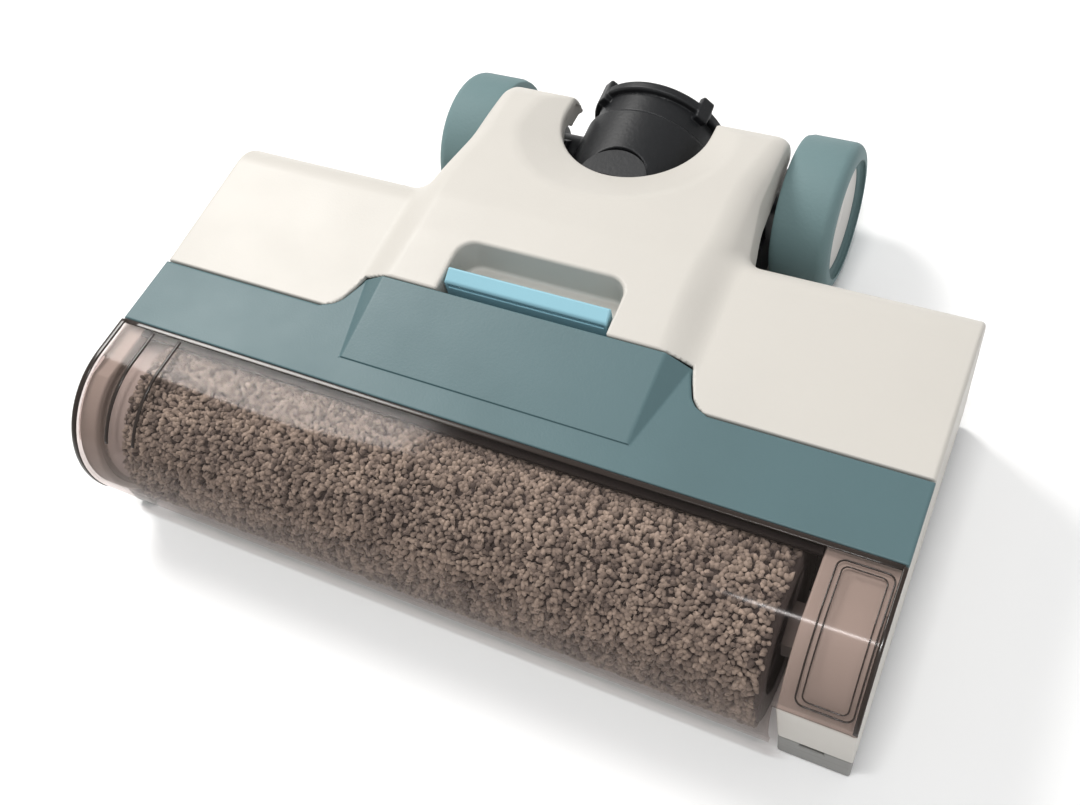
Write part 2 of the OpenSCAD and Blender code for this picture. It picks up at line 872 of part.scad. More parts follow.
module window() {
  color("lightgray", 0.45) place() difference() {
    union() {
      window_arc(-half_w, half_w, window_r, window_in_r, window_low_z);
      block([-half_w, 0, strip_z - window_t], [half_w, strip_front - 0.3, strip_z]);
      for (s = [-1, 1])
        translate([s * (half_w - rim_w / 2), 0, 0])
          window_arc(-rim_w / 2, rim_w / 2, window_in_r + 0.2, window_r - rim_depth, block_face_low + 0.4);
    }
    block([block_in_right - 1, -window_r - 1, 0], [half_w + 1, 1, block_face_low + 0.4]);
  }
}

module window_seal() {
  color("black") place()
    block([block_in_left + 0.4, strip_front - 4, strip_z - window_t - 2.2],
      [block_in_right - 0.4, strip_front + 3, strip_z - cover_t - 0.1]);
}

// ---- latch ----

module latch_bar() {
  color("lightblue") place() difference() {
    union() {
      along_x(-latch_half_w, latch_half_w)
        polygon([
          [latch_y, strip_z - 8],
          [latch_y, strip_z + 5.4],
          [latch_y + 1.6, strip_z + 5.8],
          [latch_y + latch_d, strip_z + 8.2],
          [latch_y + latch_d, strip_z - 8]
        ]);
      block([-28, latch_y, strip_z - 13.4], [28, latch_y + latch_d + 8, strip_z - 11.4]);
      block([-28, latch_y, strip_z - 12], [28, latch_y + latch_d, strip_z - 7]);
    }
    // groove along the front lip
    block([-latch_half_w + 1.2, latch_y - 1, strip_z + 2.6],
      [latch_half_w - 1.2, latch_y + 1.1, strip_z + 4.4]);
  }
}

// Two coil springs, each a plain sleeve behind the latch.
module latch_springs() {
  color("silver") place() for (x = [-18, 18])
    translate([x, latch_y + latch_d + 8, strip_z - 12.4]) rotate([-90, 0, 0]) difference() {
      cylinder(r = 2.4, h = 9, $fn = 32);
      translate([0, 0, -1]) cylinder(r = 1.6, h = 11, $fn = 32);
    }
}

// ---- inside fittings ----

module control_board() {
  color("seagreen") place() union() {
    block([-112, 64, 18], [-64, 98, 19.6]);
    block([-104, 70, 19.6], [-90, 80, 26]);
    block([-84, 74, 19.6], [-70, 90, 22]);
    for (x = [-110, -67]) for (y = [66, 94]) block([x, y, plate_low + plate_t], [x + 3, y + 3, 18]);
  }
}

module wire_harness() {
  color("firebrick") place()
    routed([[34, 124, 46], [34, 112, 54], [34, 90, 54], [34, 80, 50], [motor_x0, 80, 50]], 1.7);
}

module housing_screws() {
  color("silver") place() for (p = boss_spots) translate([p[0], p[1], 0]) {
    translate([0, 0, plate_low + screw_head_h])
      cylinder(r = screw_r - 0.05, h = housing_low + 8 - plate_low - screw_head_h, $fn = 32);
    translate([0, 0, plate_low + 0.1]) cylinder(r = screw_head_r, h = screw_head_h, $fn = 48);
  }
}

// ---- rear wheels ----

// Bracket that carries one axle and one tilt pin.
module axle_bracket(s) {
  color("black") place() mirror([s < 0 ? 1 : 0, 0, 0]) difference() {
    union() {
      block([bracket_in, axle_reach - 24, plate_rim], [bracket_out, axle_reach + 7, axle_z]);
      bar_x(15, bracket_in, bracket_out, tilt_y + 1, tilt_z - 3);
    }
    bar_x(axle_r, axle_seat, wheel_in + wheel_w, axle_reach, axle_z);
    bar_x(tilt_pin_r, bracket_in - 1, pin_seat, tilt_y, tilt_z);
  }
}

module axle_bracket_left() {
  axle_bracket(-1);
}

module axle_bracket_right() {
  axle_bracket(1);
}

module axle(s) {
  color("silver") place() mirror([s < 0 ? 1 : 0, 0, 0])
    bar_x(axle_r, axle_seat, wheel_in + wheel_w - 6, axle_reach, axle_z);
}

module axle_left() {
  axle(-1);
}

module axle_right() {
  axle(1);
}

// Places a wheel piece: its own z runs outwards from the inner face.
module wheel_place(s) {
  place() translate([s * wheel_in, axle_reach, axle_z]) rotate([0, s * 90, 0]) children();
}

module tyre(s) {
  color("cadetblue") wheel_place(s) rotate_extrude() difference() {
    union() {
      translate([tyre_in_r, 0]) square([wheel_r - tyre_in_r - tyre_shoulder, wheel_w]);
      translate([tyre_in_r, 1.5]) square([wheel_r - tyre_in_r, wheel_w - tyre_shoulder - 1.5]);
      translate([wheel_r - tyre_shoulder, wheel_w - tyre_shoulder]) circle(r = tyre_shoulder);
      translate([tyre_in_r, 0.6]) square([wheel_r - tyre_in_r - 0.8, 2]);
      translate([wheel_r - 7.7, wheel_w - 6]) square([4, 6]);
    }
    translate([0, wheel_w - 6.1]) square([tyre_in_r - 2.3, 12]);
    translate([0, -1]) square([tyre_in_r, wheel_w - 5.05]);
  }
}

module tyre_left() {
  tyre(-1);
}

module tyre_right() {
  tyre(1);
}

module hub(s) {
  color("white") wheel_place(s) difference() {
    translate([0, 0, 1]) cylinder(r = tyre_in_r - 0.02, h = wheel_w - 7.2);
    translate([0, 0, -1]) cylinder(r = axle_r + fit, h = wheel_w);
    translate([0, 0, wheel_w - 9]) cylinder(r = axle_r + 4, h = 6);
  }
}

module hub_left() {
  hub(-1);
}

module hub_right() {
  hub(1);
}

module wheel_cap(s) {
  color("white") wheel_place(s) difference() {
    union() {
      translate([0, 0, wheel_w - 5.6]) cylinder(r = tyre_in_r - 2.4, h = 2.4);
      translate([0, 0, wheel_w - 6.1]) cylinder(r = tyre_in_r - 6, h = 1);
    }
    translate([0, 0, wheel_w - 8]) cylinder(r = axle_r + 4, h = 3.4);
  }
}

module wheel_cap_left() {
  wheel_cap(-1);
}

module wheel_cap_right() {
  wheel_cap(1);
}

// Ring clips that keep the wheels on their axles.
module wheel_clips() {
  color("silver") for (s = [-1, 1]) wheel_place(s) translate([0, 0, wheel_w - 8]) difference() {
    cylinder(r = axle_r + 2.4, h = 1);
    translate([0, 0, -1]) cylinder(r = axle_r, h = 3);
  }
}

// ---- neck ----

module neck_barrel() {
  color("black") place() difference() {
    neck_frame() difference() {
      union() {
        intersection() {
          translate([0, 0, barrel_low]) cylinder(r = barrel_r, h = barrel_top - barrel_low);
          sphere(r = barrel_ball_r);
        }
        for (s = [-1, 1])
          mirror([s < 0 ? 1 : 0, 0, 0]) bar_x(10, barrel_bore_r + 1, bracket_in - 0.6, 0, 0);
      }
      translate([0, 0, barrel_low - 1]) cylinder(r = barrel_bore_r, h = 60);
      // round seat of the detent cap
      translate([0, -barrel_r + seat_sink, barrel_low - 2]) rotate([90, 0, 0])
        cylinder(r = seat_r, h = 10);
    }
    for (s = [-1, 1]) mirror([s < 0 ? 1 : 0, 0, 0]) bar_x(tilt_pin_r + fit, 20, 45, tilt_y, tilt_z);
  }
}

// Domed cap in the seat on top of the barrel.
module detent_cap() {
  color("dimgray") place() neck_frame() intersection() {
    translate([0, -barrel_r + seat_sink, barrel_low - 2]) rotate([90, 0, 0])
      cylinder(r = seat_r - 0.6, h = 1.2);
    translate([-20, -40, barrel_low]) cube([40, 40, 40]);
  }
}

module tilt_pins() {
  color("silver") place() for (s = [-1, 1]) mirror([s < 0 ? 1 : 0, 0, 0])
    bar_x(tilt_pin_r, barrel_bore_r + 1.5, pin_seat, tilt_y, tilt_z);
}

// Collar with its two ears; it turns in the barrel.
module neck_collar() {
  color("black") place() neck_frame() difference() {
    union() {
      translate([0, 0, -6]) cylinder(r = sleeve_r, h = 20);
      translate([0, 0, barrel_top + 0.3]) cylinder(r = band_r, h = collar_s - barrel_top);
      translate([0, 0, collar_s]) cylinder(r = collar_r, h = collar_end - collar_s);
      for (a = [-138, -42]) rotate([0, 0, a]) collar_ear();
    }
    translate([0, 0, socket_stop]) cylinder(r = socket_r, h = 60);
    translate([0, 0, -10]) cylinder(r = socket_r - 2, h = 60);
    translate([0, 0, clip_s]) difference() {
      cylinder(r = sleeve_r + 1, h = 1.2);
      translate([0, 0, -1]) cylinder(r = sleeve_r - 0.9, h = 4);
    }
  }
}

// An ear stands past the lip, and stays clear of the horns as the neck comes up.
module collar_ear() {
  ear_w = 6;
  translate([collar_r - 3, -ear_w / 2, collar_s - 2.6]) cube([3.5, ear_w, 10.2]);
}

module collar_clip() {
  color("silver") place() neck_frame() translate([0, 0, clip_s + 0.1]) difference() {
    cylinder(r = sleeve_r - 0.1, h = 1);
    translate([0, 0, -1]) cylinder(r = sleeve_r - 0.9, h = 3);
  }
}

module contact_block() {
  color("dimgray") place() neck_frame() difference() {
    translate([-6, socket_r - 8.4, -6]) cube([12, 5, 8]);
    for (x = contact_x) translate([x, contact_reach, -3]) cylinder(r = contact_r, h = 10, $fn = 24);
  }
}

module contact_pins() {
  color("gold") place() neck_frame()
    for (x = contact_x) translate([x, contact_reach, -3]) cylinder(r = contact_r, h = 6.6, $fn = 24);
}

upper_housing();
base_plate();
end_block_left();
end_block_right();
end_foot_right();
roller_chamber();
scraper_blade();
rear_squeegee();
spray_bar();
water_tube();
suction_duct();
bellows_hose();
motor_can();
motor_bracket();
motor_screws();
motor_shaft();
small_pulley();
drive_belt();
large_pulley();
drive_shaft();
drive_coupling();
drive_bearing();
stub_bearing();
roller_core();
roller_nap();
roller_drive_plug();
roller_end_cap();
cover_shell();
window();
window_seal();
latch_bar();
latch_springs();
control_board();
wire_harness();
housing_screws();
axle_bracket_left();
axle_bracket_right();
axle_left();
axle_right();
tyre_left();
tyre_right();
hub_left();
hub_right();
wheel_cap_left();
wheel_cap_right();
wheel_clips();
caster_left();
caster_right();
caster_pins();
neck_barrel();
detent_cap();
tilt_pins();
neck_collar();
collar_clip();
contact_block();
contact_pins();
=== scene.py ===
"""Looks of the floor head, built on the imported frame. Lengths in the helpers are millimetres."""
import json
import math

import bpy
import numpy as np
from mathutils import Matrix, Vector


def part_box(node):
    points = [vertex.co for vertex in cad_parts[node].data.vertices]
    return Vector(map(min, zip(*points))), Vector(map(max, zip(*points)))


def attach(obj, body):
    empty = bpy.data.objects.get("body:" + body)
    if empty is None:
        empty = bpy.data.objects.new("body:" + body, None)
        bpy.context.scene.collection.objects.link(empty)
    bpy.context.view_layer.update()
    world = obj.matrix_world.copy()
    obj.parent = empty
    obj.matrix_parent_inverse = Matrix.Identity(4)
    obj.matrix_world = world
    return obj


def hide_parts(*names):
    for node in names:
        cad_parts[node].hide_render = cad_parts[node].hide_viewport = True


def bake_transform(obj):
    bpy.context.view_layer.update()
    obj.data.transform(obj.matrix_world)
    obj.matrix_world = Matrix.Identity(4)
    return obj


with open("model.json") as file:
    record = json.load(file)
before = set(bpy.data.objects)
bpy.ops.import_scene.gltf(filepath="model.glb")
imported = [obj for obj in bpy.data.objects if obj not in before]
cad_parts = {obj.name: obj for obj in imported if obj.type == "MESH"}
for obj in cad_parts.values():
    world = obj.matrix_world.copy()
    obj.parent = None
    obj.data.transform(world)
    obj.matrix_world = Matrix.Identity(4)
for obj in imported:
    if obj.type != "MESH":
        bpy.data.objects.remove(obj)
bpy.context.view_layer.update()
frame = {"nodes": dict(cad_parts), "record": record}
MM = 0.001


def node_mm(node):
    low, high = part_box(node)
    return np.array(low) / MM, np.array(high) / MM


# ---- places taken from the frame, in millimetres with y measured from the roller axis ----
nap_low, nap_high = node_mm("roller_nap")
AXIS_Y = (nap_low[1] + nap_high[1]) / 2
ROLLER_Z = (nap_low[2] + nap_high[2]) / 2
NAP_R = (nap_high[2] - nap_low[2]) / 2
shell_high = node_mm("upper_housing")[1]
HALF_W = shell_high[0]
HUMP_TOP = shell_high[2]
HORN_REAR = shell_high[1] - AXIS_Y
window_low, window_high = node_mm("window")
WINDOW_R = AXIS_Y - window_low[1]
STRIP_Z = window_high[2]
WINDOW_LOW_Z = window_low[2]
cover_low, cover_high = node_mm("cover_shell")
STRIP_FRONT = cover_low[1] - AXIS_Y
COVER_GAP = 0.4
COVER_REAR = cover_high[1] - AXIS_Y
HUMP_FRONT = COVER_REAR + COVER_GAP
STRIP_REAR = HUMP_FRONT - 16.4
NOSE_RISE = cover_high[2] - STRIP_Z
axle_low, axle_high = node_mm("axle_right")
AXLE_Y = (axle_low[1] + axle_high[1]) / 2 - AXIS_Y
AXLE_Z = (axle_low[2] + axle_high[2]) / 2
block_l_high = node_mm("end_block_left")[1][0]
block_r_low = node_mm("end_block_right")[0][0]
plate_low = node_mm("base_plate")[0][2]

# walls, edges and reaches that the boxes of the nodes don't give
SHELL_T = 2.4
HOUSING_LOW = 10.0
BLOCK_FACE_LOW = 49.4
FACE_FRONT = -31.4
FOOT_FRONT = -28.5
FOOT_TOP = 15.5
FOOT_LIP = 5.0
WINDOW_T = 1.5
WING_REACH = 113.0
WING_ROUND = 13.5
WING_END_EDGE = 1.6
CROWN_RISE = 3.0
CROWN_RUN = 53.0
HUMP_LEAN = 9.5
HUMP_EDGE = 4.5
HUMP_FILLET = 5.0
HORN_EDGE = 3.0
NOTCH_R = 30.5
NOTCH_Y = AXLE_Y - 2.8
NOTCH_WALL_LOW = 62.0
HORN_WALL_LOW = 48.0
SKIRT_FRONT_Z = 42.0
SKIRT_REAR_Z = 52.0
DISH_R = 43.0
DISH_Y = AXLE_Y - 11.8
DISH_SLOPE = 2.7
DISH_PITCH = math.radians(9)
POCKET_HALF_W = 33.0
POCKET_DEPTH = 22.4
POCKET_SINK = 6.6
POCKET_ROUND = 7.0
COVER_T = 2.2
NOSE_STEP = 0.7
NOSE_FRONT = 27.9
NOSE_HALF_W = 56.2
RECLINE = math.radians(82.6)
TILT_Y, TILT_Z = 168.0, 36.9
BARREL_R = 28.4
BARREL_BORE_R = 23.7
BARREL_TOP = 10.3
BALL_R = 33.0
SLEEVE_R = 23.6
BAND_R = 26.6
COLLAR_R = 29.4
COLLAR_LOW, COLLAR_END = 19.7, 23.9
LATCH_HALF_W = 32.0
LATCH_Y = HUMP_FRONT + 3.9
LATCH_D = 5.3


# ---- colours, linear ----
def srgb(r, g, b):
    shares = [c / 255 for c in (r, g, b)]
    return tuple(((c + 0.055) / 1.055) ** 2.4 if c > 0.04 else c / 12.92 for c in shares) + (1.0,)


WHITE = srgb(197, 193, 186)
TEAL = srgb(82, 106, 110)
TYRE = srgb(104, 128, 130)
LATCH = srgb(142, 188, 202)
BLACK = srgb(31, 32, 34)
STEEL = srgb(172, 173, 176)


# ---- materials ----
def finish_mat(name, color, rough=0.45, bump=0.12, grain=900.0, metallic=0.0, mottle=0.06, edge_wear_and_highlight=0.25,
               alpha=1.0, anis=0.0):
    """Satin surface: fine grain in the bump, broad roughness patches, and convex edges lightened as wear and,
    on the teal cover, as a painted highlight.
    """
    m = bpy.data.materials.new(name)
    m.use_nodes = True
    nt = m.node_tree
    bsdf = nt.nodes["Principled BSDF"]
    bsdf.inputs["Metallic"].default_value = metallic
    bsdf.inputs["Specular IOR Level"].default_value = 0.5 if metallic else 0.3
    bsdf.inputs["Anisotropic"].default_value = anis
    coord = nt.nodes.new("ShaderNodeTexCoord")
    fine = nt.nodes.new("ShaderNodeTexNoise")
    fine.inputs["Scale"].default_value = grain
    fine.inputs["Detail"].default_value = 3
    broad = nt.nodes.new("ShaderNodeTexNoise")
    broad.inputs["Scale"].default_value = 22
    broad.inputs["Detail"].default_value = 6
    nt.links.new(coord.outputs["Object"], fine.inputs["Vector"])
    nt.links.new(coord.outputs["Object"], broad.inputs["Vector"])
    tint = nt.nodes.new("ShaderNodeMix")
    tint.data_type = "RGBA"
    tint.inputs["A"].default_value = color
    tint.inputs["B"].default_value = tuple(c * (1 - mottle * 3) for c in color[:3]) + (1,)
    level = nt.nodes.new("ShaderNodeMapRange")
    level.inputs["From Min"].default_value = 0.42
    level.inputs["From Max"].default_value = 0.78
    nt.links.new(broad.outputs["Fac"], level.inputs["Value"])
    nt.links.new(level.outputs["Result"], tint.inputs["Factor"])
    # convex edges lightened: wear, and where the amount is large, as on the teal cover, a painted highlight
    # along the edges
    wear_and_highlight = nt.nodes.new("ShaderNodeMix")
    wear_and_highlight.data_type = "RGBA"
    wear_and_highlight.inputs["B"].default_value = tuple(min(1, c * 1.25 + 0.02) for c in color[:3]) + (1,)
    geo = nt.nodes.new("ShaderNodeNewGeometry")
    edge = nt.nodes.new("ShaderNodeMapRange")
    edge.inputs["From Min"].default_value = 0.53
    edge.inputs["From Max"].default_value = 0.62
    edge.inputs["To Max"].default_value = edge_wear_and_highlight
    nt.links.new(geo.outputs["Pointiness"], edge.inputs["Value"])
    nt.links.new(edge.outputs["Result"], wear_and_highlight.inputs["Factor"])
    nt.links.new(tint.outputs["Result"], wear_and_highlight.inputs["A"])
    nt.links.new(wear_and_highlight.outputs["Result"], bsdf.inputs["Base Color"])
    r = nt.nodes.new("ShaderNodeMapRange")
    r.inputs["To Min"].default_value = max(rough - 0.07, 0.02)
    r.inputs["To Max"].default_value = min(rough + 0.12, 1.0)
    nt.links.new(broad.outputs["Fac"], r.inputs["Value"])
    nt.links.new(r.outputs["Result"], bsdf.inputs["Roughness"])
    b = nt.nodes.new("ShaderNodeBump")
    b.inputs["Strength"].default_value = bump
    b.inputs["Distance"].default_value = 0.0004
    nt.links.new(fine.outputs["Fac"], b.inputs["Height"])
    nt.links.new(b.outputs["Normal"], bsdf.inputs["Normal"])
    if alpha < 1:
        bsdf.inputs["Alpha"].default_value = alpha
    return m


def clear_mat(name, tint, see_through):
    """Thin clear plastic: what is behind shows through, reflections lie on top."""
    gloss = 0.05
    least_surface, most_surface = 0.05, 0.6
    m = bpy.data.materials.new(name)
    m.use_nodes = True
    nt = m.node_tree
    out = nt.nodes["Material Output"]
    bsdf = nt.nodes["Principled BSDF"]
    bsdf.inputs["Base Color"].default_value = tint
    coord = nt.nodes.new("ShaderNodeTexCoord")
    haze = nt.nodes.new("ShaderNodeTexNoise")
    haze.inputs["Scale"].default_value = 30
    haze.inputs["Detail"].default_value = 5
    nt.links.new(coord.outputs["Object"], haze.inputs["Vector"])
    r = nt.nodes.new("ShaderNodeMapRange")
    r.inputs["To Min"].default_value = gloss
    r.inputs["To Max"].default_value = gloss + 0.08
    nt.links.new(haze.outputs["Fac"], r.inputs["Value"])
    nt.links.new(r.outputs["Result"], bsdf.inputs["Roughness"])
    clear = nt.nodes.new("ShaderNodeBsdfTransparent")
    clear.inputs["Color"].default_value = see_through
    rim = nt.nodes.new("ShaderNodeLayerWeight")
    rim.inputs["Blend"].default_value = 0.25
    amount = nt.nodes.new("ShaderNodeMapRange")
    amount.inputs["To Min"].default_value = least_surface
    amount.inputs["To Max"].default_value = most_surface
    nt.links.new(rim.outputs["Facing"], amount.inputs["Value"])
    mix = nt.nodes.new("ShaderNodeMixShader")
    nt.links.new(amount.outputs["Result"], mix.inputs["Fac"])
    nt.links.new(clear.outputs["BSDF"], mix.inputs[1])
    nt.links.new(bsdf.outputs["BSDF"], mix.inputs[2])
    nt.links.new(mix.outputs["Shader"], out.inputs["Surface"])
    return m


def nap_mat(name, light, dark, attribute):
    """Microfibre: each tuft carries its own tone in a colour attribute, with painted shade darkening the
    roots and the backing.
    """
    m = finish_mat(name, light, rough=0.95, bump=0.5, grain=1500, mottle=0.1, edge_wear_and_highlight=0.0)
    nt = m.node_tree
    bsdf = nt.nodes["Principled BSDF"]
    tone = nt.nodes.new("ShaderNodeAttribute")
    tone.attribute_name = attribute
    mix = nt.nodes.new("ShaderNodeMix")
    mix.data_type = "RGBA"
    mix.inputs["A"].default_value = dark
    mix.inputs["B"].default_value = light
    nt.links.new(tone.outputs["Fac"], mix.inputs["Factor"])
    nt.links.new(mix.outputs["Result"], bsdf.inputs["Base Color"])
    bsdf.inputs["Sheen Weight"].default_value = 0.35
    return m


MATS = {
    "white_shell": finish_mat("white_shell", WHITE, 0.42, 0.10, 1100, mottle=0.012, edge_wear_and_highlight=0.05),
    "grey_plastic": finish_mat("grey_plastic", srgb(138, 137, 134), 0.5, 0.2, 700, mottle=0.05),
    "black_plastic": finish_mat("black_plastic", BLACK, 0.4, 0.22, 650, mottle=0.08, edge_wear_and_highlight=0.3),
    # teal cover: its strong edge lightening is a painted highlight along the nose edges
    "teal_plastic": finish_mat("teal_plastic", TEAL, 0.42, 0.12, 1100, mottle=0.03, edge_wear_and_highlight=0.5),
    "latch_blue": finish_mat("latch_blue", LATCH, 0.36, 0.08, 900, mottle=0.02, edge_wear_and_highlight=0.1),
    "window_clear": clear_mat("window_clear", srgb(70, 64, 60), (0.93, 0.875, 0.86, 1)),
    "window_edge": finish_mat("window_edge", srgb(48, 41, 37), 0.16, 0.05, 500, mottle=0.03),
    "nap": nap_mat("nap", srgb(216, 212, 199), srgb(58, 57, 60), "tuft_tone_and_shade"),
    "tube_plastic": finish_mat("tube_plastic", srgb(190, 196, 200), 0.5, 0.15, 600),
    "rubber_black": finish_mat("rubber_black", srgb(26, 26, 27), 0.75, 0.4, 500, mottle=0.1),
    "tyre_teal": finish_mat("tyre_teal", TYRE, 0.6, 0.3, 800, mottle=0.03, edge_wear_and_highlight=0.06),
    "cap_white": finish_mat("cap_white", srgb(204, 202, 198), 0.4, 0.1, 900, mottle=0.012, edge_wear_and_highlight=0.04),
    "steel": finish_mat("steel", STEEL, 0.3, 0.15, 500, metallic=1.0, mottle=0.05, anis=0.4),
    "bronze": finish_mat("bronze", srgb(176, 128, 76), 0.4, 0.2, 500, metallic=1.0, mottle=0.08),
    "silicone": finish_mat("silicone", srgb(186, 212, 222), 0.4, 0.1, 400, mottle=0.02, alpha=0.8),
    "board_green": finish_mat("board_green", srgb(38, 92, 58), 0.45, 0.3, 300, mottle=0.1),
    "wire_red": finish_mat("wire_red", srgb(150, 34, 30), 0.5, 0.15, 500),
    "gold": finish_mat("gold", srgb(212, 172, 84), 0.3, 0.1, 500, metallic=1.0),
}
NODE_SLOT = {part["node"]: part["material_slot"] for part in frame["record"]["subparts"]}


# ---- distance helpers; every field works on arrays in millimetres ----
def both(a, b, r):
    """Intersection with an edge rounded to r."""
    m, n = np.maximum(a + r, 0), np.maximum(b + r, 0)
    return np.minimum(np.maximum(a, b), -r) + np.sqrt(m * m + n * n)


def join(a, b, r):
    """Union with a fillet of r."""
    return -both(-a, -b, r)


def slab(v, low, high):
    return np.maximum(low - v, v - high)


def box_field(x, y, z, low, high, r=0.0):
    c = [(a + b) / 2 for a, b in zip(low, high)]
    h = [(b - a) / 2 - r for a, b in zip(low, high)]
    q = [np.abs(v - cc) - hh for v, cc, hh in zip((x, y, z), c, h)]
    out = np.sqrt(sum(np.maximum(v, 0) ** 2 for v in q))
    return out + np.minimum(np.maximum(np.maximum(q[0], q[1]), q[2]), 0) - r


def round_rect(u, v, hu, hv, r):
    a, b = np.abs(u) - hu + r, np.abs(v) - hv + r
    return np.sqrt(np.maximum(a, 0) ** 2 + np.maximum(b, 0) ** 2) + np.minimum(np.maximum(a, b), 0) - r


def tube_x(y, z, cy, cz, r):
    return np.sqrt((y - cy) ** 2 + (z - cz) ** 2) - r


def smooth_line(points, soft):
    """Function through the points, rounded over +-soft."""
    xs, ys = zip(*points)
    grid = np.arange(xs[0] - 20, xs[-1] + 20, 0.5)
    line = np.interp(grid, xs, ys)
    width = max(int(soft / 0.5), 1)
    kernel = np.hanning(2 * width + 3)[1:-1]
    kernel /= kernel.sum()
    padded = np.pad(line, width, mode="edge")
    line = np.convolve(padded, kernel, "valid")
    return lambda v: np.interp(v, grid, line)


def mesh_object(name, verts, faces, material, normals=None, smooth=True):
    """verts in mm with y from the roller axis."""
    me = bpy.data.meshes.new(name)
    v = np.array(verts, float).reshape(-1, 3)
    v = (v + np.array([0, AXIS_Y, 0])) * MM
    me.from_pydata(v.tolist(), [], [tuple(int(i) for i in f) for f in faces])
    me.materials.append(material)
    if smooth:
        me.polygons.foreach_set("use_smooth", [True] * len(me.polygons))
    me.update()
    if normals is not None:
        me.normals_split_custom_set_from_vertices(np.asarray(normals, float).tolist())
    ob = bpy.data.objects.new(name, me)
    bpy.context.scene.collection.objects.link(ob)
    return ob


def field_mesh(name, field, low, high, step, material):
    """Smooth quad mesh of the surface where field is zero."""
    low, high = np.array(low, float), np.array(high, float)
    count = np.ceil((high - low) / step).astype(int) + 1
    axes = [low[i] + step * np.arange(count[i]) for i in range(3)]
    grid = np.meshgrid(*axes, indexing="ij")
    d = field(*grid).astype(np.float32)
    inside = d < 0
    corners = [(i, j, k) for i in (0, 1) for j in (0, 1) for k in (0, 1)]

    def view(a, c):
        return a[c[0]:a.shape[0] - 1 + c[0], c[1]:a.shape[1] - 1 + c[1], c[2]:a.shape[2] - 1 + c[2]]

    total = sum(view(inside, c).astype(np.int8) for c in corners)
    mask = (total > 0) & (total < 8)
    cells = np.argwhere(mask)
    index = -np.ones(mask.shape, np.int64)
    index[mask] = np.arange(len(cells))
    values = np.stack([view(d, c)[mask] for c in corners], 1)
    place = np.zeros((len(cells), 3))
    hits = np.zeros(len(cells))
    for a in range(8):
        for b in range(a + 1, 8):
            ca, cb = np.array(corners[a]), np.array(corners[b])
            if np.abs(ca - cb).sum() != 1:
                continue
            va, vb = values[:, a], values[:, b]
            crossing = (va < 0) != (vb < 0)
            t = np.where(crossing, va / np.where(crossing, va - vb, 1), 0)
            place += np.where(crossing[:, None], ca + t[:, None] * (cb - ca), 0)
            hits += crossing
    base = low + cells * step
    points = base + place / hits[:, None] * step
    small = 0.05
    nudges = np.eye(3) * small

    def gradient(p):
        return np.stack([field(*(p + n).T) - field(*(p - n).T) for n in nudges], 1) / (2 * small)

    for _ in range(3):
        g = gradient(points)
        move = field(*points.T)[:, None] * g / np.maximum((g * g).sum(1), 0.05)[:, None]
        points = points - np.clip(move, -0.4 * step, 0.4 * step)
        points = np.clip(points, base - 0.2 * step, base + 1.2 * step)
    g = gradient(points)
    normals = g / np.maximum(np.linalg.norm(g, axis=1), 1e-9)[:, None]
    faces = []
    for axis in range(3):
        u, w = (axis + 1) % 3, (axis + 2) % 3
        s = [slice(1, -1)] * 3
        s[axis] = slice(0, -1)
        here = inside[tuple(s)]
        t = list(s)
        t[axis] = slice(1, None)
        there = inside[tuple(t)]
        flip = np.argwhere(here != there)
        sign = here[here != there]
        cell = flip.copy()
        cell[:, u] += 1
        cell[:, w] += 1
        ring = []
        for du, dw in ((-1, -1), (0, -1), (0, 0), (-1, 0)):
            c = cell.copy()
            c[:, u] += du
            c[:, w] += dw
            ring.append(index[c[:, 0], c[:, 1], c[:, 2]])
        quad = np.stack(ring, 1)
        quad[~sign] = quad[~sign][:, ::-1]
        faces.append(quad)
    faces = np.concatenate(faces)
    faces = faces[(faces >= 0).all(1)]
    return mesh_object(name, points, faces, material, normals)


def revolve(name, profile, material, center, steps=96, sign=1):
    """Turns (along, radius) pairs about the x axis through center; sign is the side that along points to."""
    verts, faces = [], []
    n = len(profile)
    for i in range(steps):
        a = 2 * math.pi * i / steps
        for along, r in profile:
            verts.append((center[0] + sign * along, center[1] + r * math.cos(a), center[2] + r * math.sin(a)))
    for i in range(steps):
        for k in range(n - 1):
            j = (i + 1) % steps
            q = (i * n + k, i * n + k + 1, j * n + k + 1, j * n + k)
            faces.append(q if sign > 0 else q[::-1])
    return mesh_object(name, verts, faces, material)


def arc(cu, cv, r, a0, a1, steps=8):
    return [(cu + r * math.cos(math.radians(a0 + (a1 - a0) * i / steps)),
             cv + r * math.sin(math.radians(a0 + (a1 - a0) * i / steps))) for i in range(steps + 1)]


# ---- white housing ----
# height of the hump, its half width and the flare of the cover, all along y
hump_line = smooth_line([
    (HUMP_FRONT - 6, STRIP_Z + 4.9), (HUMP_FRONT, STRIP_Z + 5.6), (84, 77.0), (102, HUMP_TOP),
    (122, HUMP_TOP - 1.8), (149, STRIP_Z + 2.6), (170, STRIP_Z - 1.2), (177, STRIP_Z - 5),
    (181, STRIP_Z - 12), (184, STRIP_Z - 26)], 3)
hump_half = smooth_line([
    (HUMP_FRONT - 20, 63.6), (HUMP_FRONT, 64.2), (112, 66), (141, 60.8), (178, 60.6), (184, 58)], 8)
flare = smooth_line([
    (44, 78), (46, 75.4), (47.4, 71.6), (50.5, 68.8), (56.5, 66.3), (HUMP_FRONT, 64.4), (64, 64.2)], 1)


def cover_plan(x, y, gap):
    """Plan of the lift-off cover, below zero inside."""
    strip = slab(y, STRIP_FRONT - gap, STRIP_REAR + gap)
    flank = (np.abs(x) - flare(y) - gap + COVER_GAP) * 0.85
    return np.minimum(strip, np.maximum(slab(y, STRIP_FRONT, COVER_REAR + gap), flank))


def notch_field(x, y):
    """Plan of the notch for the neck: round in front, open to the rear."""
    circle = np.sqrt(x ** 2 + (y - NOTCH_Y) ** 2) - NOTCH_R
    return np.minimum(circle, np.maximum(np.abs(x) - NOTCH_R, NOTCH_Y - y))


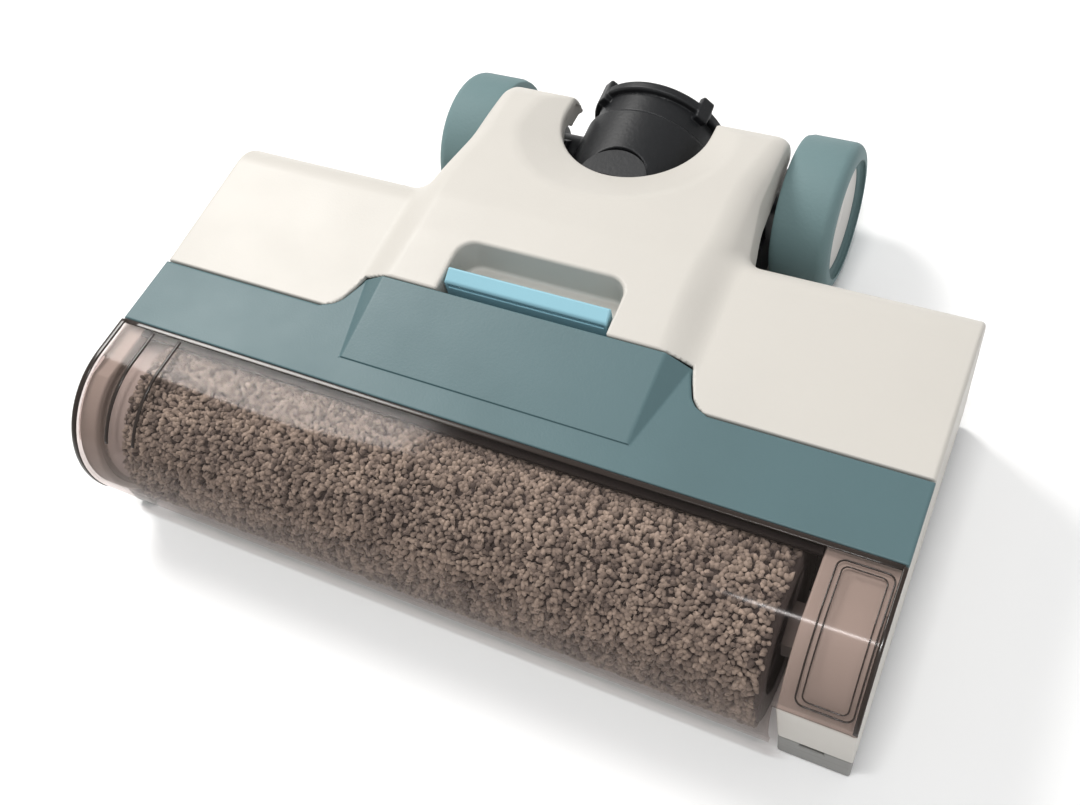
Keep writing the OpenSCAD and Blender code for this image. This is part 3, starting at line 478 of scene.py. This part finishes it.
def body_field(x, y, z):
    """Outer form of the wings and the hump before any opening."""
    roof = z - (STRIP_Z + CROWN_RISE * np.clip((y - STRIP_REAR) / CROWN_RUN, 0, 1))
    wings = both(roof, y - WING_REACH, WING_ROUND)
    wings = both(wings, np.abs(x) - HALF_W, WING_END_EDGE)
    lean_low = STRIP_Z - 4
    rise = np.clip((z - lean_low) / (HUMP_TOP - lean_low), 0, 1)
    flank = (np.abs(x) - hump_half(y) + HUMP_LEAN * rise ** 1.3) * 0.85
    hump = both(flank, (z - hump_line(y)) * 0.97, HUMP_EDGE)
    hump = both(hump, y - HORN_REAR, HORN_EDGE)
    hump = np.maximum(hump, HUMP_FRONT - 1 - y)
    soft = join(wings, hump, HUMP_FILLET)
    plane = STRIP_Z + 0.3 - math.tan(DISH_PITCH) * (y - DISH_Y)
    radius = np.sqrt(x ** 2 + (y - DISH_Y) ** 2)
    dish = (z - plane - (radius - DISH_R) / DISH_SLOPE) * 0.96
    return both(soft, dish, 0.8)


def pocket_field(x, y, z, grow):
    """Finger pocket behind the nose; grow makes it larger all round."""
    low = 40.0
    high = HUMP_FRONT + POCKET_DEPTH + grow
    plan = round_rect(x, y - (low + high) / 2, POCKET_HALF_W + grow, (high - low) / 2, POCKET_ROUND + grow)
    return both(plan, STRIP_Z - POCKET_SINK - grow - z, 1.2)


def housing_field(x, y, z):
    """White shell with its openings."""
    body = body_field(x, y, z)
    front = STRIP_REAR + COVER_GAP - y
    outer = both(body, front, 0.7)
    notch = notch_field(x, y)
    cover_seat = STRIP_Z - COVER_T - COVER_GAP

    # room inside, less the walls of the notch, the pocket and the deck under the cover
    wall_low = np.where(y > NOTCH_Y - 12, HORN_WALL_LOW, NOTCH_WALL_LOW)
    hollow = np.maximum(body + SHELL_T, front + SHELL_T)
    hollow = np.maximum(hollow, -np.maximum(notch - SHELL_T, wall_low - z))
    hollow = np.maximum(hollow, -pocket_field(x, y, z, SHELL_T))
    deck = box_field(x, y, z, (-64, STRIP_REAR, cover_seat - SHELL_T), (64, HUMP_FRONT + 1, cover_seat))
    hollow = np.maximum(hollow, -deck)
    shell = both(outer, -hollow, 0.5)

    # openings on top
    cover = np.maximum(cover_plan(x, y, 0.45), cover_seat - z)
    shell = both(shell, -cover, 0.6)
    shell = both(shell, -notch, 1.2)
    lip = np.maximum(notch - 0.9, body + 3.4)
    shell = both(shell, -lip, 0.3)
    pivot = np.maximum(tube_x(y, z, 166, 49, 6.5), np.abs(x) - 36)
    shell = both(shell, -pivot, 0.4)
    shell = both(shell, -pocket_field(x, y, z, 0), 1.3)
    well_low, well_high = (-33, 54, STRIP_Z - 14), (33, HUMP_FRONT + 13.4, STRIP_Z + 12)
    shell = both(shell, -box_field(x, y, z, well_low, well_high), 0.4)

    # lower edge, which climbs under the horns, and the ways for duct and axles
    climb = SKIRT_FRONT_Z + (y - WING_REACH) * (SKIRT_REAR_Z - SKIRT_FRONT_Z) / 60
    skirt = np.minimum(np.where(y > WING_REACH + 1, climb, HOUSING_LOW), SKIRT_REAR_Z)
    shell = both(shell, skirt - z, 0.6)
    shell = both(shell, HOUSING_LOW - z, 0.5)
    duct = box_field(x, y, z, (-29, 40, -1), (29, 54, 36))
    axles = tube_x(y, z, AXLE_Y, AXLE_Z, 5.5)
    return np.maximum(np.maximum(shell, -duct), -axles)


def white_housing():
    ob = field_mesh("housing_skin", housing_field, (-HALF_W - 1.5, STRIP_REAR - 2, HOUSING_LOW - 1.5),
                    (HALF_W + 1.5, HORN_REAR + 2, HUMP_TOP + 2), 0.95, MATS["white_shell"])
    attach(ob, "head")
    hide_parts("upper_housing")


# ---- teal cover ----
def nose_field(x, y, z, t):
    back = y - NOSE_FRONT
    climb = (NOSE_RISE - NOSE_STEP) / (COVER_REAR - NOSE_FRONT)
    top = (z - (STRIP_Z + NOSE_STEP + back * climb)) * 0.989 + t
    flank = (np.abs(x) - NOSE_HALF_W) * 0.519 - back * 0.123 + (z - STRIP_Z) * 0.846 + t
    return both(top, flank, 0.35)


def cover_field(x, y, z):
    plan = cover_plan(x, y, 0)
    plan = np.maximum(plan, np.abs(x) - HALF_W)
    strip = both(plan, z - STRIP_Z, 0.7)
    nose = both(nose_field(x, y, z, 0), y - COVER_REAR, 0.6)
    nose = np.maximum(nose, 27.0 - y)
    solid = join(strip, nose, 0.2)
    solid = np.maximum(solid, STRIP_Z - COVER_T - z)
    room = np.maximum(nose_field(x, y, z, COVER_T), y - (COVER_REAR - COVER_T))
    room = np.maximum(room, 34 - y)
    return both(solid, -room, 0.3)


def teal_cover():
    ob = field_mesh("cover_skin", cover_field, (-HALF_W - 1.2, STRIP_FRONT - 1.2, STRIP_Z - 3.2),
                    (HALF_W + 1.2, HUMP_FRONT + 1, STRIP_Z + NOSE_RISE + 1.2), 0.55, MATS["teal_plastic"])
    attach(ob, "cover")
    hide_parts("cover_shell")


# ---- clear window ----
def on_window(x, along, lift):
    """Point on the window: along runs from the crown, + to the rear over the flat, - down the front."""
    r = WINDOW_R + lift
    if along >= 0:
        return (x, along, ROLLER_Z + r)
    a = math.pi / 2 + along / WINDOW_R
    return (x, -r * math.cos(a), ROLLER_Z + r * math.sin(a))


def window_line(name, path, width, height, closed=False):
    """Low rounded rib along a path of (x, along) on the window."""
    path = [np.array(p, float) for p in path]
    n = len(path)
    section = [(-0.5, -0.25), (-0.5, 0.35), (-0.25, 0.9), (0.25, 0.9), (0.5, 0.35), (0.5, -0.25)]
    verts, faces = [], []
    for i, p in enumerate(path):
        before = path[(i - 1) % n] if closed or i else path[i]
        after = path[(i + 1) % n] if closed or i < n - 1 else path[i]
        t = (after - before) / max(np.linalg.norm(after - before), 1e-6)
        side = np.array([-t[1], t[0]])
        for across, up in section:
            q = p + side * across * width
            verts.append(on_window(q[0], q[1], up * height))
    m = len(section)
    for i in range(n if closed else n - 1):
        j = (i + 1) % n
        for k in range(m):
            faces.append((i * m + k, i * m + (k + 1) % m, j * m + (k + 1) % m, j * m + k))
    if not closed:
        faces.append(tuple(range(m))[::-1])
        faces.append(tuple((n - 1) * m + k for k in range(m)))
    ob = mesh_object(name, verts, faces, MATS["window_edge"])
    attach(ob, "cover")
    return ob


def round_frame(x0, x1, s0, s1, r):
    """Closed rounded rectangle with closely spaced points down its long sides."""
    pts = []
    corners = ((x1 - r, s1 - r, 0), (x0 + r, s1 - r, 90), (x0 + r, s0 + r, 180), (x1 - r, s0 + r, 270))
    for i, (cx, cs, a) in enumerate(corners):
        pts += [(u, v) for u, v in arc(cx, cs, r, a, a + 90, 6)]
        nx, ns, na = corners[(i + 1) % 4]
        end = (nx + r * math.cos(math.radians(na)), ns + r * math.sin(math.radians(na)))
        last = pts[-1]
        for k in range(1, 24):
            pts.append((last[0] + (end[0] - last[0]) * k / 24, last[1] + (end[1] - last[1]) * k / 24))
    return pts


def window_lines():
    low_turn = math.asin((WINDOW_LOW_Z - ROLLER_Z) / WINDOW_R)
    low_along = -(math.pi / 2 - low_turn) * WINDOW_R

    def down(x, s0, s1, steps=60):
        return [(x, s0 + (s1 - s0) * i / steps) for i in range(steps + 1)]

    block_along = -(math.pi / 2 - math.radians(28)) * WINDOW_R
    window_line("window_edge_left", down(-HALF_W + 0.9, STRIP_FRONT - 0.8, low_along + 0.4), 2.4, 0.3)
    window_line("window_edge_right", down(HALF_W - 0.8, STRIP_FRONT - 0.8, block_along + 0.6), 1.5, 0.3)
    reach = HALF_W - 1
    across = [(-reach + i * 2 * reach / 40, STRIP_FRONT - 1.2) for i in range(41)]
    window_line("window_edge_rear", across, 2.0, 0.15)
    rib_start = 13.2
    window_line("window_rib_outer", down(-131.2, rib_start, -32.7), 1.5, 0.4)
    window_line("window_rib_inner", down(-118.6, rib_start, -30.6), 1.4, 0.4)
    rows = (("window_frame_outer", 0.0, 2.6, 0.55, 0.4), ("window_frame_inner", 1.8, 2.0, 0.45, 0.3))
    for name, inset, corner, width, height in rows:
        path = round_frame(128.7 + inset, 145.7 - inset, -34.4 + inset, 11.8 - inset, corner)
        window_line(name, path, width, height, closed=True)


def window_field(x, y, z):
    """Thin bent window with a deeper rim at both ends; it stops above the face of the belt block."""
    block_edge = BLOCK_FACE_LOW + 0.4
    rim_w, rim_depth = 1.5, 4
    radius = np.sqrt(y ** 2 + (z - ROLLER_Z) ** 2)
    bent = np.maximum(radius - WINDOW_R, WINDOW_R - WINDOW_T - radius)
    flat = np.maximum(z - STRIP_Z, STRIP_Z - WINDOW_T - z)
    skin = np.where(y < 0, bent, flat)
    skin = both(skin, y - (STRIP_FRONT - 0.5), 0.3)
    low = np.where(x > block_r_low - 1, block_edge, WINDOW_LOW_Z)
    skin = both(skin, low - z, 0.3)
    ring = np.maximum(radius - WINDOW_R, WINDOW_R - rim_depth - radius)
    rim = np.maximum(ring, HALF_W - rim_w - np.abs(x))
    rim = np.maximum(np.maximum(rim, y), block_edge - z)
    return both(join(skin, rim, 0.4), np.abs(x) - HALF_W, 0.5)


def clear_window():
    ob = field_mesh("window_skin", window_field, (-HALF_W - 1, -WINDOW_R - 1, WINDOW_LOW_Z - 1),
                    (HALF_W + 1, STRIP_FRONT + 1, STRIP_Z + 1), 0.6, MATS["window_clear"])
    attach(ob, "cover")
    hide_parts("window")


# ---- roller ----
def patchy(u, v, rng, waves):
    """Smooth random patches between 0 and 1 over the unrolled nap."""
    total = np.zeros_like(u)
    for length in waves:
        for _ in range(5):
            turn = rng.uniform(0, 2 * np.pi)
            run = u * math.cos(turn) + v * math.sin(turn)
            total += np.sin(run * 2 * np.pi / length + rng.uniform(0, 6.28))
    return 0.5 + 0.5 * np.tanh(total / len(waves) / 1.6)


def tuft_rings(place, angle, height, width, lean, rng, sides, levels):
    """Verts and faces of leaning tufts; levels are (rise, width share) from the root up, then one tip."""
    count = len(place)
    spin = rng.uniform(0, 2 * np.pi, count)
    root = NAP_R - 2.9
    each = sides * len(levels) + 1
    verts = np.zeros((count, each, 3))
    for row, (rise, share) in enumerate(levels + ((1.0, 0.0),)):
        for k in range(sides if share else 1):
            around = spin + k * 2 * np.pi / sides
            u = place + width * share * np.cos(around) + lean[:, 0] * rise ** 2
            a = angle + (width * share * np.sin(around) + lean[:, 1] * rise ** 2) / NAP_R
            r = root + height * rise
            verts[:, row * sides + k] = np.stack([u, r * np.cos(a), ROLLER_Z + r * np.sin(a)], 1)
    verts[:, :, 0] = np.clip(verts[:, :, 0], nap_low[0], nap_high[0])
    quads, tips = [], []
    for row in range(len(levels) - 1):
        for k in range(sides):
            j = (k + 1) % sides
            quads.append((row * sides + k, row * sides + j, (row + 1) * sides + j, (row + 1) * sides + k))
    last = (len(levels) - 1) * sides
    for k in range(sides):
        tips.append((last + k, last + (k + 1) % sides, each - 1))
    start = (np.arange(count) * each)[:, None, None]
    faces = []
    for kind in (quads, tips):
        faces += (np.array(kind)[None] + start).reshape(-1, len(kind[0])).tolist()
    return verts.reshape(-1, 3), faces, each


def nap_ground():
    """Backing under the tufts with closed ends."""
    steps, rows = 96, 90
    verts, faces = [], []
    for i in range(rows + 1):
        for j in range(steps):
            b = 2 * math.pi * j / steps
            r = NAP_R - 2.7 + 0.2 * math.sin(i * 2.1 + j * 1.7)
            x = nap_low[0] + (nap_high[0] - nap_low[0]) * i / rows
            verts.append((x, r * math.cos(b), ROLLER_Z + r * math.sin(b)))
    for i in range(rows):
        for j in range(steps):
            k = (j + 1) % steps
            faces.append((i * steps + j, i * steps + k, (i + 1) * steps + k, (i + 1) * steps + j))
    for i, end in ((0, nap_low[0]), (rows, nap_high[0])):
        verts.append((end, 0, ROLLER_Z))
        for j in range(steps):
            tri = (i * steps + (j + 1) % steps, i * steps + j, len(verts) - 1)
            faces.append(tri if i == 0 else tri[::-1])
    return np.array(verts), faces


def roller_nap():
    rng = np.random.default_rng(7)
    pitch = 1.45
    along = np.arange(nap_low[0] + 0.9, nap_high[0] - 0.6, pitch)
    turns = int(2 * np.pi * NAP_R / pitch)
    u, v = np.meshgrid(along, np.arange(turns) * 2 * np.pi / turns, indexing="ij")
    u, v = u.ravel(), v.ravel()
    u = u + rng.normal(0, 0.42 * pitch, u.size)
    v = v + rng.normal(0, 0.42 * pitch, u.size) / NAP_R
    around = v * NAP_R
    tone = 0.62 * patchy(u, around, rng, (6, 3.4)) + 0.38 * rng.beta(3, 1.6, u.size)
    tone = np.clip(0.1 + tone + 0.34 * (patchy(u, around, rng, (34, 17)) - 0.6), 0, 1)
    height = 1.55 + 1.1 * patchy(u, around, rng, (4.6, 2.9)) + rng.uniform(-0.25, 0.35, u.size)
    lean = rng.normal(0, 0.75, (u.size, 2))
    loops = tuft_rings(u, v, np.minimum(height, 3.1), rng.uniform(0.75, 1.15, u.size), lean, rng, 5,
                       ((0.0, 0.9), (0.5, 1.05), (0.86, 0.7)))
    strays = 9000
    pick = rng.integers(0, u.size, strays)
    stray_u = u[pick] + rng.normal(0, 0.8, strays)
    stray_v = v[pick] + rng.normal(0, 0.8, strays) / NAP_R
    stray_tall = np.minimum(height[pick] + rng.uniform(0.1, 0.5, strays), 3.3)
    stray_lean = rng.normal(0, 1.3, (strays, 2))
    fine = tuft_rings(stray_u, stray_v, stray_tall, np.full(strays, 0.2), stray_lean, rng, 3,
                      ((0.0, 1.0), (0.6, 0.9)))
    ground_verts, ground_faces = nap_ground()
    verts = np.concatenate([loops[0], fine[0], ground_verts])
    faces = list(loops[1])
    faces += [[i + len(loops[0]) for i in f] for f in fine[1]]
    faces += [[i + len(loops[0]) + len(fine[0]) for i in f] for f in ground_faces]

    # painted shade: dark at the root, full tone at the top ring and the tip
    level = np.tile(np.array([0.25] * 5 + [0.8] * 5 + [1.0] * 6), u.size)
    loop_tones_and_shade = np.repeat(tone, loops[2]) * level
    fine_tones = np.repeat(np.clip(tone[pick] + 0.1, 0, 1), fine[2])
    # the backing's tone of 0.08 is painted shade in the gaps between the tufts
    tones_and_shade = np.concatenate([loop_tones_and_shade, fine_tones, np.full(len(ground_verts), 0.08)])
    ob = mesh_object("nap_tufts", verts, faces, MATS["nap"], smooth=True)
    layer = ob.data.attributes.new("tuft_tone_and_shade", "FLOAT", "POINT")
    layer.data.foreach_set("value", tones_and_shade.astype(np.float32))
    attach(ob, "roller")
    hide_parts("roller_nap")


# ---- wheels ----
def wheel(side, sign):
    low, high = node_mm("tyre_" + side)
    inner = low[0] if sign > 0 else high[0]
    width = high[0] - low[0]
    r = (high[2] - low[2]) / 2
    rim = r - 7.7
    center = (inner, AXLE_Y, AXLE_Z)
    tyre = [(0.6, rim + 2.3), (0.2, r - 3.2)]
    tyre += [(1.0 - 0.8 * math.cos(t), r - 1.6 + 1.0 * math.sin(t)) for t in np.linspace(0.2, 1.5, 5)]
    tyre += [(3.0, r)]
    tyre += [(width - 4.6, r)] + arc(width - 4.4, r - 4.2, 4.2, 90, 12, 10)
    tyre += [(width - 0.1, rim + 2.2)] + arc(width - 1.2, rim + 1.1, 1.1, 20, 160, 6)
    tyre += [(width - 2.6, rim - 0.1), (width - 5.5, rim - 0.2)]
    ob = revolve("tyre_skin_" + side, tyre, MATS["tyre_teal"], center, steps=128, sign=sign)
    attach(ob, "wheel_" + side)
    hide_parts("tyre_" + side)
    face = width - 3.2
    edge = 0.7
    disc = [(face - 2.4, rim - 0.25), (face - edge, rim - 0.25)]
    disc += arc(face - edge, rim - 0.25 - edge, edge, 90, 0, 5)[1:]
    disc += [(face, rim - 2.0), (face - 0.5, rim - 2.6), (face - 0.5, 9.6), (face - 0.9, 9.0)]
    disc += [(face - 0.9, 4.2), (face - 0.4, 3.6), (face - 0.3, 0.01)]
    cap = revolve("cap_skin_" + side, disc, MATS["cap_white"], center, steps=96, sign=sign)
    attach(cap, "wheel_" + side)
    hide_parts("wheel_cap_" + side)


# ---- neck ----
def neck_local(x, y, z):
    """Neck frame: s runs up the neck, q points up and forward."""
    dy, dz = y - TILT_Y, z - TILT_Z
    c, s = math.cos(RECLINE), math.sin(RECLINE)
    q = dy * c - dz * s
    along = dy * s + dz * c
    return x, q, along


def barrel_field(x, y, z):
    """Barrel with a ball-shaped foot, side lugs for the pins and a flat seat for the detent cap."""
    u, q, s = neck_local(x, y, z)
    radius = np.sqrt(u * u + q * q)
    tube = both(radius - BARREL_R, slab(s, -22, BARREL_TOP), 1.4)
    tube = both(tube, np.sqrt(radius ** 2 + s ** 2) - BALL_R, 3.0)
    lugs = np.maximum(tube_x(q, s, 0, 0, 10), np.abs(u) - 39.4)
    solid = join(tube, lugs, 1.2)
    solid = both(solid, BARREL_BORE_R - radius, 0.5)
    seat = np.maximum(np.sqrt(u * u + (s + 24) ** 2) - 14.8, q + 26.0)
    solid = both(solid, -seat, 0.6)
    pins = tube_x(q, s, 0, 0, 4.06)
    return np.maximum(solid, -np.maximum(pins, 20 - np.abs(u)))


def collar_field(x, y, z):
    """Sleeve inside the barrel, a band and a lip above it, and two ears."""
    u, q, s = neck_local(x, y, z)
    radius = np.sqrt(u * u + q * q)
    sleeve = np.maximum(radius - SLEEVE_R, slab(s, -6, 14))
    band = both(radius - BAND_R, slab(s, BARREL_TOP + 0.3, COLLAR_LOW + 0.5), 0.6)
    lip = both(radius - COLLAR_R, slab(s, COLLAR_LOW, COLLAR_END), 1.2)
    solid = np.minimum(sleeve, join(band, lip, 0.4))
    for angle in (-138, -42):
        a = math.radians(angle)
        radial = u * math.cos(a) + q * math.sin(a)
        side = -u * math.sin(a) + q * math.cos(a)
        ear = box_field(radial, side, s, (26.4, -3, 17.1), (COLLAR_R + 0.5, 3, COLLAR_END + 3.4), 0.9)
        solid = join(solid, ear, 0.7)
    bore = np.where(s > 4, 21.0, 19.0) - radius
    return both(solid, bore, 0.5)


def neck_pieces():
    barrel = field_mesh("barrel_skin", barrel_field, (-41, 138, 2), (41, 184, 70), 0.6, MATS["black_plastic"])
    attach(barrel, "neck")
    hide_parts("neck_barrel")
    collar = field_mesh("collar_skin", collar_field, (-33, 156, 2), (33, 197, 74), 0.6, MATS["black_plastic"])
    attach(collar, "socket")
    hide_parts("neck_collar")


# ---- latch and end blocks ----
def latch_field(x, y, z):
    front, rear = LATCH_Y, LATCH_Y + LATCH_D
    top = STRIP_Z + 5.4 + (y - front) * 0.52
    bar = box_field(x, y, z, (-LATCH_HALF_W, front, STRIP_Z - 8), (LATCH_HALF_W, rear, STRIP_Z + 9))
    bar = both(bar, (z - top) * 0.89, 0.9)
    groove_low, groove_high = (-30.6, front - 2, STRIP_Z + 2.5), (30.6, front + 1.2, STRIP_Z + 4.3)
    bar = both(bar, -box_field(x, y, z, groove_low, groove_high, 0.3), 0.3)
    tongue = box_field(x, y, z, (-28, front, STRIP_Z - 13.4), (28, rear + 8, STRIP_Z - 11.4), 0.3)
    stem = box_field(x, y, z, (-28, front, STRIP_Z - 12), (28, rear, STRIP_Z - 7), 0.2)
    return np.minimum(bar, np.minimum(tongue, stem))


def block_profile(y, z, r):
    circle = tube_x(y, z, 0, ROLLER_Z, r)
    back = np.maximum(-y, y - (STRIP_REAR - 0.3))
    top = z - (STRIP_Z - 2.8)
    body = np.minimum(np.maximum(circle, y - 0.5), np.maximum(back, top))
    return np.maximum(np.maximum(body, top), HOUSING_LOW - z)


def under_face(y, z):
    """Below zero behind the flat leaning front and above the foot's raised front."""
    share = (BLOCK_FACE_LOW - z) / (BLOCK_FACE_LOW - FOOT_TOP)
    face = np.where(z < BLOCK_FACE_LOW, FOOT_FRONT + (FACE_FRONT - FOOT_FRONT) * (1 - share) - y, -9.0)
    foot = np.minimum(FOOT_FRONT + FOOT_LIP + 0.3 - y, FOOT_TOP + 0.3 - z)
    return np.maximum(face, foot)


def right_block_field(x, y, z):
    inner = block_profile(y, z, WINDOW_R - 1.8)
    solid = both(inner, slab(x, block_r_low, HALF_W - 1.7), 0.8)
    end = both(block_profile(y, z, WINDOW_R - 4.4), slab(x, HALF_W - 3, HALF_W - 0.1), 0.5)
    face = both(block_profile(y, z, WINDOW_R), slab(x, block_r_low, HALF_W), 1.8)
    face = both(face, z - BLOCK_FACE_LOW, 0.9)
    face = np.maximum(face, y + 8)
    solid = both(np.minimum(np.minimum(solid, end), face), under_face(y, z), 0.5)
    room = box_field(x, y, z, (block_r_low + 2.4, -26, 12.4), (HALF_W - 2.4, 60, STRIP_Z - 16))
    bore = np.maximum(tube_x(y, z, 0, ROLLER_Z, 8.5), x - block_r_low - 4)
    return np.maximum(np.maximum(solid, -room), -bore)


def left_block_field(x, y, z):
    solid = both(block_profile(y, z, WINDOW_R - 1.8), slab(x, -HALF_W + 1.7, block_l_high), 0.8)
    end = both(block_profile(y, z, WINDOW_R - 4.4), slab(x, -HALF_W + 0.1, -HALF_W + 3), 0.5)
    solid = np.minimum(solid, end)
    radius = np.sqrt(y * y + (z - ROLLER_Z) ** 2)
    for k in range(3):
        rib = np.maximum(slab(radius, 28.6 - 5 * k, 31 - 5 * k), block_l_high - 1 - x)
        solid = both(solid, -rib, 0.3)
    return np.maximum(solid, -np.maximum(tube_x(y, z, 0, ROLLER_Z, 8), block_l_high - 6 - x))


def foot_field(x, y, z):
    right = HALF_W - 0.3
    corner = (block_r_low, FOOT_FRONT, plate_low - 1.2)
    solid = box_field(x, y, z, corner, (right, STRIP_REAR - 1, HOUSING_LOW - 0.2), 1.0)
    front = box_field(x, y, z, corner, (right, FOOT_FRONT + FOOT_LIP, FOOT_TOP), 0.6)
    solid = join(solid, front, 0.3)
    slot_low, slot_high = (block_r_low + 7, FOOT_FRONT - 3, FOOT_TOP - 2.6), (HALF_W - 9, FOOT_FRONT + 3, 20)
    solid = both(solid, -box_field(x, y, z, slot_low, slot_high, 0.4), 0.3)
    room = box_field(x, y, z, (block_r_low + 3, -22, -1), (HALF_W - 3, STRIP_REAR - 5, plate_low + 2))
    return np.maximum(solid, -room)


def guard_field(x, y, z):
    tab = box_field(x, y, z, (-35, 160, 40), (-30.9, 172, 50.5), 0.6)
    slope = (z - 50.5 + 0.9 * np.abs(y - 165)) * 0.74
    return both(tab, slope, 0.5)


def small_skins():
    rows = (
        ("latch_skin", latch_field, (-33, HUMP_FRONT + 2, STRIP_Z - 15),
         (33, HUMP_FRONT + 19, STRIP_Z + 10), 0.5, "latch_blue", "latch", "latch_bar"),
        ("right_block_skin", right_block_field, (block_r_low - 1, -WINDOW_R - 1, HOUSING_LOW - 1),
         (HALF_W + 1, STRIP_REAR + 1, STRIP_Z), 0.6, "white_shell", "head", "end_block_right"),
        ("left_block_skin", left_block_field, (-HALF_W - 1, -WINDOW_R - 1, HOUSING_LOW - 1),
         (block_l_high + 1, STRIP_REAR + 1, STRIP_Z), 0.6, "white_shell", "head", "end_block_left"),
        ("foot_skin", foot_field, (block_r_low - 1, -30, 0), (HALF_W + 1, STRIP_REAR + 1, FOOT_TOP + 1), 0.6,
         "grey_plastic", "head", "end_foot_right"),
    )
    for name, field, low, high, step, slot, body, node in rows:
        ob = field_mesh(name, field, low, high, step, MATS[slot])
        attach(ob, body)
        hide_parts(node)
    tab = field_mesh("pivot_guard", guard_field, (-36, 158, 38), (-29, 174, 52), 0.4, MATS["black_plastic"])
    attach(tab, "head")


# ---- hose, from the duct to the neck ----
def hose():
    """Wavy hose from the duct to the middle of the neck."""
    start = Vector((0, 126 + AXIS_Y, 22.5)) * MM
    end = Vector((0, TILT_Y + AXIS_Y, TILT_Z)) * MM
    direction = (end - start).normalized()
    side = Vector((1, 0, 0))
    up = side.cross(direction)
    lead, length, bore_r = 4.6, 21.0, 9.2
    mean_r, wave_h, waves = 10.8, 0.9, 6
    ring = []
    for i in range(waves * 12 + 1):
        t = i / (waves * 12)
        ring.append((lead + length * t, mean_r + wave_h * math.cos(2 * math.pi * waves * t)))
    ring += [(lead + length, bore_r), (lead, bore_r)]
    steps = 48
    verts, faces = [], []
    n = len(ring)
    for i in range(steps):
        a = 2 * math.pi * i / steps
        for along, r in ring:
            p = start + direction * along * MM + (side * math.cos(a) + up * math.sin(a)) * r * MM
            verts.append((p.x / MM, p.y / MM - AXIS_Y, p.z / MM))
    for i in range(steps):
        j = (i + 1) % steps
        for k in range(n):
            m = (k + 1) % n
            faces.append((i * n + k, j * n + k, j * n + m, i * n + m))
    ob = mesh_object("hose_skin", verts, faces, MATS["rubber_black"])
    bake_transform(ob)
    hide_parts("bellows_hose")


# ---- the rest of the CAD nodes: rounded edges and their own finish, save two painted black as shade ----
# painted shade: the roller chamber and the scraper blade take black plastic in place of their own finish,
# standing for the shade inside the head
PAINTED_SHADE_PARTS = ("roller_chamber", "scraper_blade")


def dress_cad():
    for name, ob in frame["nodes"].items():
        if ob.hide_render:
            continue
        slot = NODE_SLOT[name]
        ob.data.materials.clear()
        ob.data.materials.append(MATS["black_plastic" if name in PAINTED_SHADE_PARTS else slot])
        bevel = ob.modifiers.new("soft_edges", "BEVEL")
        bevel.width = 0.0003
        bevel.segments = 2
        bevel.limit_method = "ANGLE"
        bevel.angle_limit = math.radians(35)
        bevel.harden_normals = False


# ---- stage ----
def stage():
    me = bpy.data.meshes.new("floor")
    s = 3.0
    verts, faces = [], []
    rows = [(-s, 0.0), (1.2, 0.0)]
    rows += arc(1.2, 0.8, 0.8, -80, 0, 8)
    rows += [(2.0, 3.0)]
    for y, z in rows:
        verts += [(-s, y, z), (s, y, z)]
    for i in range(len(rows) - 1):
        faces.append((2 * i, 2 * i + 1, 2 * i + 3, 2 * i + 2))
    me.from_pydata(verts, [], faces)
    me.polygons.foreach_set("use_smooth", [True] * len(me.polygons))
    ob = bpy.data.objects.new("floor", me)
    me.materials.append(finish_mat("floor_pale", srgb(252, 252, 252), 0.8, 0.02, 60, mottle=0.002, edge_wear_and_highlight=0))
    bpy.context.scene.collection.objects.link(ob)


def area(name, place, target, size, power, color=(1, 1, 1)):
    light = bpy.data.lights.new(name, "AREA")
    light.shape = "RECTANGLE"
    light.size, light.size_y = size
    light.energy = power
    light.color = color
    ob = bpy.data.objects.new(name, light)
    ob.location = place
    ob.rotation_euler = (Vector(target) - Vector(place)).to_track_quat("-Z", "Y").to_euler()
    bpy.context.scene.collection.objects.link(ob)


def lights():
    area("key", (-0.95, 0.45, 1.2), (0, 0, 0), (0.5, 0.5), 18, (1, 0.985, 0.96))
    area("fill", (1.0, -0.7, 1.0), (0, 0, 0), (1.0, 1.0), 3, (0.97, 0.985, 1))
    area("strip", (0.03, -0.33, 1.66), (0, -0.1, 0), (0.35, 0.05), 10)
    world = bpy.data.worlds.new("soft")
    world.use_nodes = True
    world.node_tree.nodes["Background"].inputs["Color"].default_value = (1, 1, 1, 1)
    world.node_tree.nodes["Background"].inputs["Strength"].default_value = 0.44
    bpy.context.scene.world = world


def screen_tones():
    """Colours straight from light to screen, so that the whites stay white."""
    bpy.context.scene.view_settings.view_transform = "Standard"


def camera():
    cam = bpy.data.cameras.new("camera")
    cam.sensor_width = 36
    cam.sensor_fit = "HORIZONTAL"
    cam.lens = 38.07
    cam.dof.use_dof = False
    ob = bpy.data.objects.new("camera", cam)
    az, el, roll = math.radians(38.54), math.radians(55.18), math.radians(-16.45)
    back = Vector((math.sin(az) * math.cos(el), -math.cos(az) * math.cos(el), math.sin(el)))
    flat = Vector((math.cos(az), math.sin(az), 0))
    rise = flat.cross(-back)
    right = math.cos(roll) * flat + math.sin(roll) * rise
    up = -math.sin(roll) * flat + math.cos(roll) * rise
    m = Matrix((right, up, back)).transposed().to_4x4()
    m.translation = Vector((0.1570, -0.2214, 0.3822))
    ob.matrix_world = m
    bpy.context.scene.collection.objects.link(ob)
    bpy.context.scene.camera = ob


white_housing()
teal_cover()
clear_window()
window_lines()
roller_nap()
wheel("left", -1)
wheel("right", 1)
neck_pieces()
small_skins()
hose()
dress_cad()
stage()
lights()
screen_tones()
camera()
